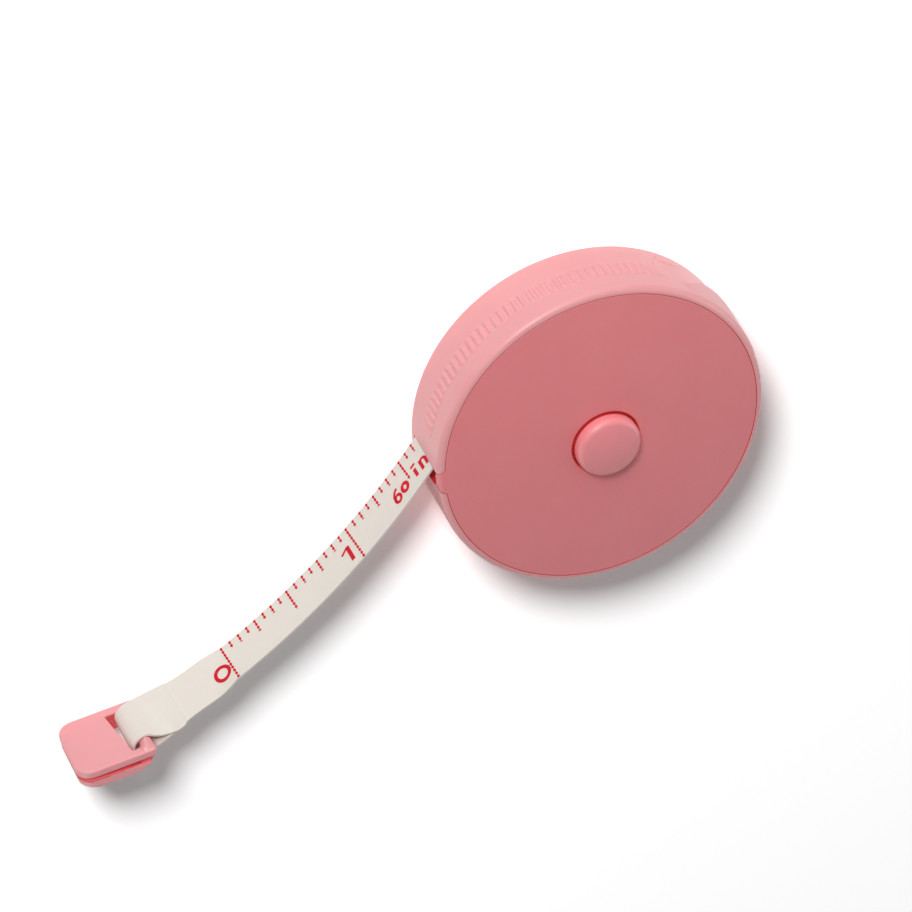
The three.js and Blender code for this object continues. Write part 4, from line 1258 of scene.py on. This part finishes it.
def thick_sheet(name: str, grid: np.ndarray, lengths: np.ndarray, half: float, width: float) -> Piece:
    """Gives a grid of points a thickness and a UV map.

    Args:
        name: The object's name.
        grid: Points of the middle surface, along by across.
        lengths: The distance along at each row.
        half: Half of the thickness.
        width: The width across.

    Returns:
        The closed sheet, in millimetres.
    """
    normal = np.cross(np.gradient(grid, axis=1), np.gradient(grid, axis=0))
    normal *= half / np.linalg.norm(normal, axis=2)[:, :, None]
    rows, columns = grid.shape[:2]
    count = rows * columns
    points = np.vstack([(grid + normal).reshape(-1, 3), (grid - normal).reshape(-1, 3)])
    faces = grid_faces(rows, columns, closed=False)
    faces += [tuple(i + count for i in reversed(face)) for face in faces]
    edges = (
        range(0, count - columns, columns),
        range(count - columns, count - 1),
        range(count - 1, columns - 1, -columns),
        range(columns - 1, -1, -1),
    )
    rim = [index for edge in edges for index in edge]
    faces += [(a, b, b + count, a + count) for a, b in zip(rim, rim[1:])]
    made = mesh_piece(name, points, faces)
    map_cloth(made, [(along, across) for along in lengths for across in np.linspace(0, width, columns)] * 2)
    return weld(made)


@dataclass
class ClothTape:
    """The free stretch of tape, its loop round the tab's bar and its welded end."""

    path: TapePath = TapePath()
    crisp_degrees: float = 50.0

    def build(self) -> Piece:
        """Builds the tape as one woven strip.

        Returns:
            The tape.
        """
        tape = thick_sheet("tape_strip", *self.path.rows(), self.path.half_thickness, self.path.width)
        finish_off(tape, TAPE_CLOTH.material(), self.crisp_degrees)
        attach(tape, "tape")
        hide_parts("tape_blade")
        return tape


class Tick(Enum):
    """The printed lines, each with the share of the tape's width that it crosses."""

    SIXTEENTH = 0.21
    EIGHTH = 0.25
    QUARTER = 0.37
    HALF = 0.63
    INCH = 1.0


@dataclass
class TapePrint:
    """The inch scale and its numerals, printed on the tape.

    Each mark has its sign, its place along and across the tape, and its width and height.
    """

    path: TapePath = TapePath()
    pitch: float = 25.4 / 16
    count: int = 35
    line_width: float = 0.3
    line_margin: float = 0.02
    bead_pitch: float = 0.76
    steps_per_bead: int = 12
    skew: float = 0.05
    bead: float = 0.7
    bead_least: float = 0.6
    worn_shares: Point = (0.3, 0.9)
    height: float = 0.014
    sink: float = 0.02
    stroke: float = 0.6
    zero_steps: int = 36
    bowl_steps: int = 30
    marks: tuple[tuple[str, Point, Point], ...] = (
        ("0", (1.5, 4.6), (2.95, 2.95)),
        ("1", (-23.8, 4.6), (2.1, 3.2)),
        ("6", (-35.1, 4.75), (1.75, 2.7)),
        ("0", (-36.95, 4.85), (1.8, 2.05)),
        ("i", (-39.7, 4.5), (1.1, 2.5)),
        ("n", (-41.65, 4.95), (1.6, 2.0)),
    )
    crisp_degrees: float = 50.0

    def kind(self, index: int) -> Tick:
        """Says which line stands at a sixteenth of an inch.

        Args:
            index: How many sixteenths it is from the zero line.

        Returns:
            The kind of line.
        """
        for step, tick in ((16, Tick.INCH), (8, Tick.HALF), (4, Tick.QUARTER), (2, Tick.EIGHTH)):
            if index % step == 0:
                return tick
        return Tick.SIXTEENTH

    def on_tape(self, along: float, across: float, level: float) -> Triple:
        """Finds a point over the tape's printed face.

        Args:
            along: The distance along the tape.
            across: The distance across it.
            level: The height over the face.

        Returns:
            The point in the world, in millimetres.
        """
        lift = float(self.path.lift(np.array([along]), np.array([across]))[0])
        return self.path.point(along, lift + self.path.half_thickness + level, across)

    def plate(self, name: str, outlines: Sequence[Sequence[Path]]) -> Piece:
        """Lays printed shapes on the tape.

        Args:
            name: The object's name.
            outlines: For each shape, its two rails: rows of points along and across the tape.

        Returns:
            The print, in millimetres.
        """
        points, faces, places = [], [], []
        levels = (self.height, self.height, -self.sink, -self.sink)
        sides = len(levels)
        for left, right in outlines:
            first = len(points)
            for near, far in zip(left, right):
                for place, level in zip((near, far, far, near), levels):
                    points.append(self.on_tape(*place, level))
                    places.append(place)
            quads = grid_faces(len(left), sides, closed=True)
            if left[0] != left[-1]:
                last = (len(left) - 1) * sides
                quads += [tuple(range(sides)), tuple(range(last, last + sides))]
            faces += [tuple(first + i for i in quad) for quad in quads]
        made = mesh_piece(name, np.array(points), faces)
        map_cloth(made, places)
        return weld(made)

    def line(self, along: float, share: float) -> list[Path]:
        """Makes the rails of a printed line from the rear edge, beaded by the threads.

        Args:
            along: The line's distance along the tape.
            share: The share of the tape's width that it crosses.

        Returns:
            Its two rails.
        """
        reach = share * self.path.width
        steps = max(2, round(reach / self.bead_pitch * self.steps_per_bead))
        left, right = [], []
        for t in span(self.line_margin, reach - self.line_margin, steps):
            worn = self.bead_least + (1 - self.bead_least) * float(smoothstep(*self.worn_shares, t / reach))
            wave = self.bead * worn * math.cos(2 * math.pi * t / self.bead_pitch)
            middle, half = along - self.skew * t, self.line_width / 2 * (1 - wave)
            left.append((middle - half, t))
            right.append((middle + half, t))
        return [left, right]

    def stroke_rails(self, spine: Path, width: float) -> list[Path]:
        """Makes the rails of a pen stroke along a spine.

        Args:
            spine: The stroke's middle line, along and across the tape.
            width: The pen's width.

        Returns:
            Its two rails.
        """
        line = np.array(spine)
        closed = math.dist(spine[0], spine[-1]) < SMALL
        way = np.gradient(line, axis=0)
        if closed:
            way[0] = way[-1] = (line[1] - line[-2]) / 2
        way /= np.linalg.norm(way, axis=1)[:, None]
        side = np.column_stack([-way[:, 1], way[:, 0]]) * width / 2
        rails = [[tuple(p) for p in line + side], [tuple(p) for p in line - side]]
        for rail in rails if closed else []:
            rail[-1] = rail[0]
        return rails

    def glyph(self, shape: str, centre: Point, size: Point) -> list[list[Path]]:
        """Draws a numeral or letter with strokes in a unit box, x to the right and y up.

        Args:
            shape: One of 0, 1, 6, i and n.
            centre: Its place along and across the tape.
            size: Its width along the tape and its height across it.

        Returns:
            The rails of its strokes.
        """
        wide, tall = 1 - self.stroke / size[0], 1 - self.stroke / size[1]
        zero, bowl = (arc((0, 0), 1, 0, 360, steps) for steps in (self.zero_steps, self.bowl_steps))
        # Each stroke has its share of the pen's width and its spine
        strokes = {
            "0": [(1.0, [(wide * x, tall * y) for x, y in zero])],
            "1": [
                (1.15, [(0.35, 0.95), (0.35, 0), (0.35, -1)]),
                (0.7, [(-1, 0.5), (-0.3, 0.7), (0.35, 0.9)]),
            ],
            "6": [
                (0.85, [(wide * x, 0.5 * y - 0.36) for x, y in bowl]),
                (0.75, [(-wide, -0.36), (-0.62, 0.3), (-0.1, 0.75), (0.55, 0.98)]),
            ],
            "i": [
                (1.0, [(0, 0.3), (0, -0.3), (0, -1)]),
                (0.7, [(-0.9, 0.86), (0, 0.86), (0.9, 0.86)]),
            ],
            "n": [
                (1.0, [(-0.7, 1), (-0.7, 0), (-0.7, -1)]),
                (1.0, [(0.7, 0.5), (0.7, -0.2), (0.7, -1)]),
                (0.8, [(-0.7, 0.55), (-0.2, 0.85), (0.3, 0.8), (0.7, 0.35)]),
            ],
        }
        rails = []
        for share, spine in strokes[shape]:
            placed = [(centre[0] - x * size[0] / 2, centre[1] - y * size[1] / 2) for x, y in spine]
            rails.append(self.stroke_rails(placed, self.stroke * share))
        return rails

    def build(self) -> Piece:
        """Builds the scale and its numerals as one thin printed piece.

        Returns:
            The print.
        """
        shapes = [self.line(-i * self.pitch, self.kind(i).value) for i in range(self.count)]
        for mark in self.marks:
            shapes += self.glyph(*mark)
        made = self.plate("scale_print", shapes)
        finish_off(made, TAPE_INK.material(), self.crisp_degrees)
        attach(made, "tape")
        return made


@dataclass
class TapeRoll:
    """The tape that is wound on the spool, turn on turn."""

    path: TapePath = TapePath()
    inner: float = 15.6
    outer: float = 20.3
    thickness: float = 0.36
    turns: float = 11.6
    start_degrees: float = 151.7
    steps_per_turn: int = 72
    crisp_degrees: float = 50.0

    def build(self) -> Piece:
        """Builds the winding as one spiral strip.

        Returns:
            The winding.
        """
        half, low, width = self.thickness / 2, self.path.low_z, self.path.width
        steps = round(self.turns * self.steps_per_turn)
        grid, lengths, along = [], [], 0.0
        for i, radius in enumerate(span(self.inner + half, self.outer - half, steps)):
            spot = polar(radius, self.start_degrees - 360 * self.turns * i / steps)
            grid.append([(*spot, z) for z in (low, low + width / 2, low + width)])
            lengths.append(along)
            along += radius * math.radians(360 / self.steps_per_turn)
        roll = thick_sheet("tape_winding", np.array(grid), np.array(lengths), half, width)
        finish_off(roll, TAPE_CLOTH.material(), self.crisp_degrees)
        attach(roll, "spool")
        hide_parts("tape_roll")
        return roll


# Pull tab


@dataclass
class PullTab:
    """The two-part moulded tab on the tape's end, with the bar that the loop turns on.

    It is made lying flat, with x along it from the bar, y across it and z up from the bar.
    """

    bar_centre: Point = (-68.8219, -37.9142)
    heading: float = 9.2
    mid_z: float = 6.3
    length: float = 10.8
    toe: float = 1.15
    half_width: float = 6.0
    corner: float = 2.4
    corner_steps: int = 8
    toe_steps: int = 4
    toe_corner: float = 0.7
    toe_corner_least: float = 0.3
    top_face: float = 0.35
    top_low: float = -0.85
    base_high: float = -1.5
    base_low: float = -2.5
    base_inset: float = 0.02
    base_swell: float = 1.475
    base_swell_least: float = 0.5
    base_taper: float = 0.62
    base_middle: float = -5.1
    groove_closes: float = 0.5
    groove_start: float = -2.0
    core_inset: float = 0.8
    core_gap: float = 0.04
    core_overlap: float = 0.3
    end_block: Triple = (-1.5, 1.0, 5.7)
    slot_half: float = 4.5
    slot_near: float = 2.25
    slot_far: float = 3.6
    slot_open: float = 4.0
    slot_reach: float = 5.0
    gap_margin: float = 0.05
    gap_lit: float = 0.3
    groove_margin: float = 0.03
    arm_half: float = 5.75
    arm_profile: Knots = (
        (-1.2, 0.3), (-0.95, 0.75), (-0.75, 1.35), (-0.4, 1.8), (0.1, 1.95),
        (0.5, 1.75), (0.8, 1.2), (0.95, 0.3), (0.95, -0.85), (-1.2, -0.85),
    )
    arm_slope: float = 0.02
    far_arm: float = 0.35
    end_curve: Knots = (
        (1.2, 0.1), (0.8, -0.35), (0.45, -1.1), (-0.15, -1.8), (-0.7, -2.2),
        (-1.8, -2.6), (-1.8, -4.0), (3.0, -4.0), (3.0, 0.1),
    )
    end_reach: float = 8.0
    bar_radius: float = 0.95
    bar_steps: int = 40
    bar_overlap: float = 0.6
    voxel: float = 0.09
    top_rounds: int = 14
    base_rounds: int = 10
    crisp_degrees: float = 60.0

    def plate_outline(self, inset: float) -> Path:
        """Lists a plate's outline, along the tab and across it.

        Args:
            inset: How far it lies inside the tab's own outline.

        Returns:
            The corners, in order.
        """
        low, high = -self.length + inset, self.toe - inset
        half, corner = self.half_width - inset, self.corner - inset
        toe = max(self.toe_corner - inset, self.toe_corner_least)
        return [
            *arc((low + corner, -half + corner), corner, 180, 270, self.corner_steps),
            *arc((high - toe, -half + toe), toe, 270, 360, self.toe_steps),
            *arc((high - toe, half - toe), toe, 0, 90, self.toe_steps),
            *arc((low + corner, half - corner), corner, 90, 180, self.corner_steps),
        ]

    def bar(self) -> Piece:
        """Makes the round bar across the slot.

        Returns:
            The bar, whose ends lie in the arms.
        """
        reach = self.slot_half + self.bar_overlap
        circle = arc((0, 0), self.bar_radius, 0, 360, self.bar_steps)[:-1]
        return loft("bar", [[(x, y, z) for x, z in circle] for y in (-reach, reach)])

    def slot(self) -> Piece:
        """Makes the cutter of the slot for the tape's loop, a little wider at its far end.

        Returns:
            The cutter.
        """
        half, end = self.slot_half, self.slot_open
        outline = [(-self.slot_near, -half), (end, -half), (end, half), (-self.slot_far, half)]
        return prism("slot_cut", outline, -self.slot_reach, self.slot_reach)

    def arm(self, side: int) -> Piece:
        """Makes the hump of an arm's end, high over the slot and low at the tab's edge.

        Args:
            side: Minus one for the near arm and one for the far arm.

        Returns:
            The hump, as a closed solid.
        """
        share = 1.0 if side < 0 else self.far_arm
        inner = [(x, z * share if z > self.top_face else z) for x, z in self.arm_profile]
        outer = [(x, min(z, self.top_face + z * self.arm_slope)) for x, z in inner]
        rings = ((inner, side * self.slot_half), (outer, side * self.arm_half))
        return loft("arm_hump", [[(x, y, z) for x, z in ring] for ring, y in rings])

    def end_cut(self) -> Piece:
        """Makes the cutter that rounds off the tab's end under its arms.

        Returns:
            The cutter.
        """
        cutter = prism("end_cut", self.end_curve, -self.end_reach, self.end_reach)
        cutter.data.transform(Matrix.Rotation(math.radians(90), 4, "X"))
        return cutter

    def soften(self, piece: Piece, rounds: int) -> None:
        """Rounds the moulded edges of a piece: fine even mesh, then smoothing.

        Args:
            piece: The piece, in millimetres.
            rounds: How many times it is smoothed.
        """
        remesh = piece.modifiers.new("skin", "REMESH")
        remesh.mode = "VOXEL"
        remesh.voxel_size = self.voxel
        smooth = piece.modifiers.new("soft", "SMOOTH")
        smooth.iterations = rounds
        bake(piece)

    def in_gap(self, centres: np.ndarray) -> np.ndarray:
        """Says which faces of a tab piece lie in the slot, round the bar or in the groove, where shade is
        painted.

        Args:
            centres: The face centres in the tab's own frame, in millimetres.

        Returns:
            Whether each face is hidden from direct light.
        """
        x, y, z = centres.T
        near, far, width = self.slot_near, self.slot_far, 2 * self.slot_half
        slot_edge = (near + far) / 2 + (far - near) * y / width
        in_slot = (np.abs(y) < self.slot_half + self.gap_margin) & (x > -slot_edge - self.gap_margin)
        deep = (z < self.top_face - self.gap_lit) & (z > self.base_low)
        in_groove = (z < self.top_low + self.groove_margin) & (z > self.base_high - self.groove_margin)
        return (in_slot & deep) | in_groove

    def seat(self, piece: Piece) -> None:
        """Turns a finished tab piece from its own frame to its place and dresses it, with painted shade in
        its slot and groove.

        Args:
            piece: The piece, in millimetres.
        """
        hidden = self.in_gap(face_centres(piece))
        upright = Matrix.Rotation(math.radians(-90), 4, "X")
        turn = Matrix.Rotation(math.radians(self.heading), 4, "Z")
        piece.data.transform(Matrix.Translation((*self.bar_centre, self.mid_z)) @ turn @ upright)
        finish_off(piece, TAB_ABS.material(), self.crisp_degrees)
        # Painted shade: the faces in the slot, round the bar and in the groove take the deeper red tab gap
        # finish
        paint_shade_within(piece, TAB_GAP_SHADE_ABS.material(), hidden)
        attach(piece, "pull_tab")

    def build_top(self) -> Piece:
        """Builds the top half with its arms and bar.

        Returns:
            The top half.
        """
        body = prism("tab_upper", self.plate_outline(0), self.top_low, self.top_face)
        combine(body, self.slot(), Cut.TAKE)
        for part in (self.arm(-1), self.arm(1), self.bar()):
            combine(body, part, Cut.JOIN)
        combine(body, self.end_cut(), Cut.TAKE)
        self.soften(body, self.top_rounds)
        self.seat(body)
        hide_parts("end_tab_top")
        return body

    def base_z(self, x: float, z: float) -> float:
        """Shapes the base: its groove closes towards the far end and its underside swells.

        Args:
            x: The point's place along the tab.
            z: Its height in the plain base.

        Returns:
            Its height in the finished base.
        """
        high, core_top = self.base_high, self.top_low - self.core_gap
        far = core_top if z > high else self.base_low
        level = (z - far) / (high - far)
        reach = min(max((self.groove_start - x) / (self.length + self.groove_start), 0), 1)
        raised = z + self.groove_closes * reach * max(level, 0)
        swell = self.base_swell - self.base_taper * ((x - self.base_middle) / self.length * 2) ** 2
        return high + (raised - high) * max(swell, self.base_swell_least) if raised < high else raised

    def build_base(self) -> Piece:
        """Builds the base half, swollen below, and the core between the halves.

        Returns:
            The base half.
        """
        body = prism("tab_lower", self.plate_outline(self.base_inset), self.base_low, self.base_high)
        core_top = self.top_low - self.core_gap
        core_low = self.base_high - self.core_overlap
        start, end, half = self.end_block
        block = [(start, -half), (end, -half), (end, half), (start, half)]
        combine(body, prism("core", self.plate_outline(self.core_inset), core_low, core_top), Cut.JOIN)
        combine(body, prism("end_block", block, self.base_low, core_top), Cut.JOIN)
        for cutter in (self.slot(), self.end_cut()):
            combine(body, cutter, Cut.TAKE)
        self.soften(body, self.base_rounds)
        for vertex in body.data.vertices:
            vertex.co.z = self.base_z(vertex.co.x, vertex.co.z)
        self.seat(body)
        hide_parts("end_tab_base")
        return body


# Inner works


@dataclass
class InnerWorks:
    """The CAD pieces inside the case, which keep their shapes and get real finishes."""

    acetal: tuple[str, ...] = (
        "brake_plate", "spool_drum", "spool_flange", "spring_cover", "tape_anchor_pin",
    )
    steel: tuple[str, ...] = ("power_spring", "spring_pin")
    rubber: tuple[str, ...] = ("brake_pad_1", "brake_pad_2", "brake_pad_3")
    film: tuple[str, ...] = ("thrust_washer",)

    def dress_all(self) -> None:
        """Gives each carried-over node the finish of what it is made of."""
        finishes = ((ACETAL, self.acetal), (SPRING_STEEL, self.steel))
        for finish, names in (*finishes, (BRAKE_RUBBER, self.rubber), (WASHER_FILM, self.film)):
            material = finish.material()
            for name in names:
                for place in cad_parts[name].material_slots:
                    place.material = material
                LOG.info("%s dressed in %s", name, finish.name)


# Studio


class Lamp(Enum):
    """The lamps: direction, height over the floor, distance and size in mm, and plain level.

    The last value says whether the lamp is flagged off the floor.
    """

    KEY = (118.0, 34.0, 1600.0, 440.0, 0.56, False)
    SIDE_FILL = (95.0, 12.0, 900.0, 600.0, 0.3, True)
    LEFT_FILL = (230.0, 12.0, 900.0, 600.0, 0.2, True)
    RIGHT_FILL = (5.0, 25.0, 900.0, 600.0, 0.22, True)


@dataclass
class Studio:
    """The plain floor, the soft light and the camera."""

    camera_place: Triple = (-225.7, 417.8, 541.6)
    right: Triple = (0.93338, 0.0, 0.35890)
    up: Triple = (0.21212, 0.80664, -0.55167)
    back: Triple = (-0.28950, 0.59105, 0.75290)
    lens: float = 197.4
    sensor: float = 36.0
    nearest: float = 0.01
    fill: float = 0.1
    floor_reach: float = 3000.0
    floor_steps: int = 64
    floor_z: float = -0.02
    paper: float = 0.9
    paper_seen: float = 2.7

    def place_camera(self) -> None:
        """Adds the camera at the photograph's viewpoint."""
        data = bpy.data.cameras.new("camera")
        data.lens = self.lens
        data.sensor_width = self.sensor
        data.clip_start = self.nearest
        camera = bpy.data.objects.new("camera", data)
        axes = Matrix((self.right, self.up, self.back)).transposed().to_4x4()
        camera.matrix_world = Matrix.Translation([v * MM for v in self.camera_place]) @ axes
        bpy.context.scene.collection.objects.link(camera)
        bpy.context.scene.camera = camera

    def hang(self, lamp: Lamp, floor: Piece) -> None:
        """Adds a round soft lamp that aims at the origin.

        Args:
            lamp: Which lamp to add.
            floor: The floor, which a flagged lamp leaves out.
        """
        degrees, height, distance, size, level, flagged = lamp.value
        name = lamp.name.lower()
        data = bpy.data.lights.new(name, "AREA")
        data.shape = "DISK"
        data.size = size * MM
        data.energy = level * (math.pi * distance * MM) ** 2
        made = bpy.data.objects.new(name, data)
        run, rise = polar(distance, height)
        x, y = polar(run, degrees)
        spot = Matrix.Translation([x * MM, y * MM, rise * MM])
        made.matrix_world = spot @ spot.translation.to_track_quat("Z", "Y").to_matrix().to_4x4()
        bpy.context.scene.collection.objects.link(made)
        if flagged:
            lit = bpy.data.collections.new(name + "_flag")
            lit.objects.link(floor)
            lit.collection_objects[0].light_linking.link_state = "EXCLUDE"
            made.light_linking.receiver_collection = lit

    def light(self, floor: Piece) -> None:
        """Adds the lamps and the even fill of the world.

        Args:
            floor: The floor that the key lamp lights.
        """
        for lamp in Lamp:
            self.hang(lamp, floor)
        world = bpy.data.worlds.new("studio")
        world.use_nodes = True
        bpy.context.scene.world = world
        tree = world.node_tree
        tree.nodes.clear()
        levels = {"To Min": self.fill, "To Max": 1.0}
        strength = add_node(tree, "MapRange", levels, {"Value": self.seen(tree)}).outputs["Result"]
        sky = add_node(tree, "Background", {"Color": (1.0, 1.0, 1.0, 1.0)}, {"Strength": strength})
        add_node(tree, "OutputWorld", links={"Surface": sky.outputs["Background"]})

    def seen(self, tree: Tree) -> Socket:
        """Tells seen rays from those that light the object.

        Args:
            tree: The node tree to add to.

        Returns:
            One for rays from the camera, gloss and glass, and zero for light.
        """
        path = add_node(tree, "LightPath").outputs
        value = path["Is Camera Ray"]
        for kind in ("Is Glossy Ray", "Is Transmission Ray"):
            both = add_node(tree, "Math", {"operation": "MAXIMUM"}, {0: value, 1: path[kind]})
            value = both.outputs["Value"]
        return value

    def lay_floor(self) -> Piece:
        """Lays the white floor, which shows white and keeps the object's shadow.

        Returns:
            The floor.
        """
        rim = arc((0, 0), self.floor_reach, 0, 360, self.floor_steps)[:-1]
        points = np.array([(x, y, self.floor_z) for x, y in rim])
        floor = mesh_piece("floor", points, [tuple(range(len(points)))])
        floor.data.transform(Matrix.Scale(MM, 4))
        made = bpy.data.materials.new("white_paper")
        made.use_nodes = True
        tree = made.node_tree
        tree.nodes.clear()
        # Seen paper is brighter than the paper that lights the object, so its lit part is white
        levels = {"To Min": self.paper, "To Max": self.paper_seen, "clamp": False}
        tone = add_node(tree, "MapRange", levels, {"Value": self.seen(tree)}).outputs["Result"]
        paper = add_node(tree, "BsdfDiffuse", links={"Color": tone})
        add_node(tree, "OutputMaterial", links={"Surface": paper.outputs["BSDF"]})
        floor.data.materials.append(made)
        return floor


def main() -> None:
    """Builds the tape measure's pieces and the studio round them."""
    logging.basicConfig(level=logging.INFO, format="%(name)s: %(message)s")
    studio = Studio()
    studio.place_camera()
    builders: list[Callable[[], Piece]] = [
        CaseShell().build,
        FrontCover().build,
        PushButton().build,
        ReturnSpring().build,
        TapeRoll().build,
        ClothTape().build,
        TapePrint().build,
        PullTab().build_top,
        PullTab().build_base,
    ]
    for build in builders:
        piece = build()
        LOG.info("%s built with %d faces", piece.name, len(piece.data.polygons))
    InnerWorks().dress_all()
    studio.light(studio.lay_floor())
    bpy.context.scene.view_settings.view_transform = "Standard"


if __name__ == "__main__":
    main()
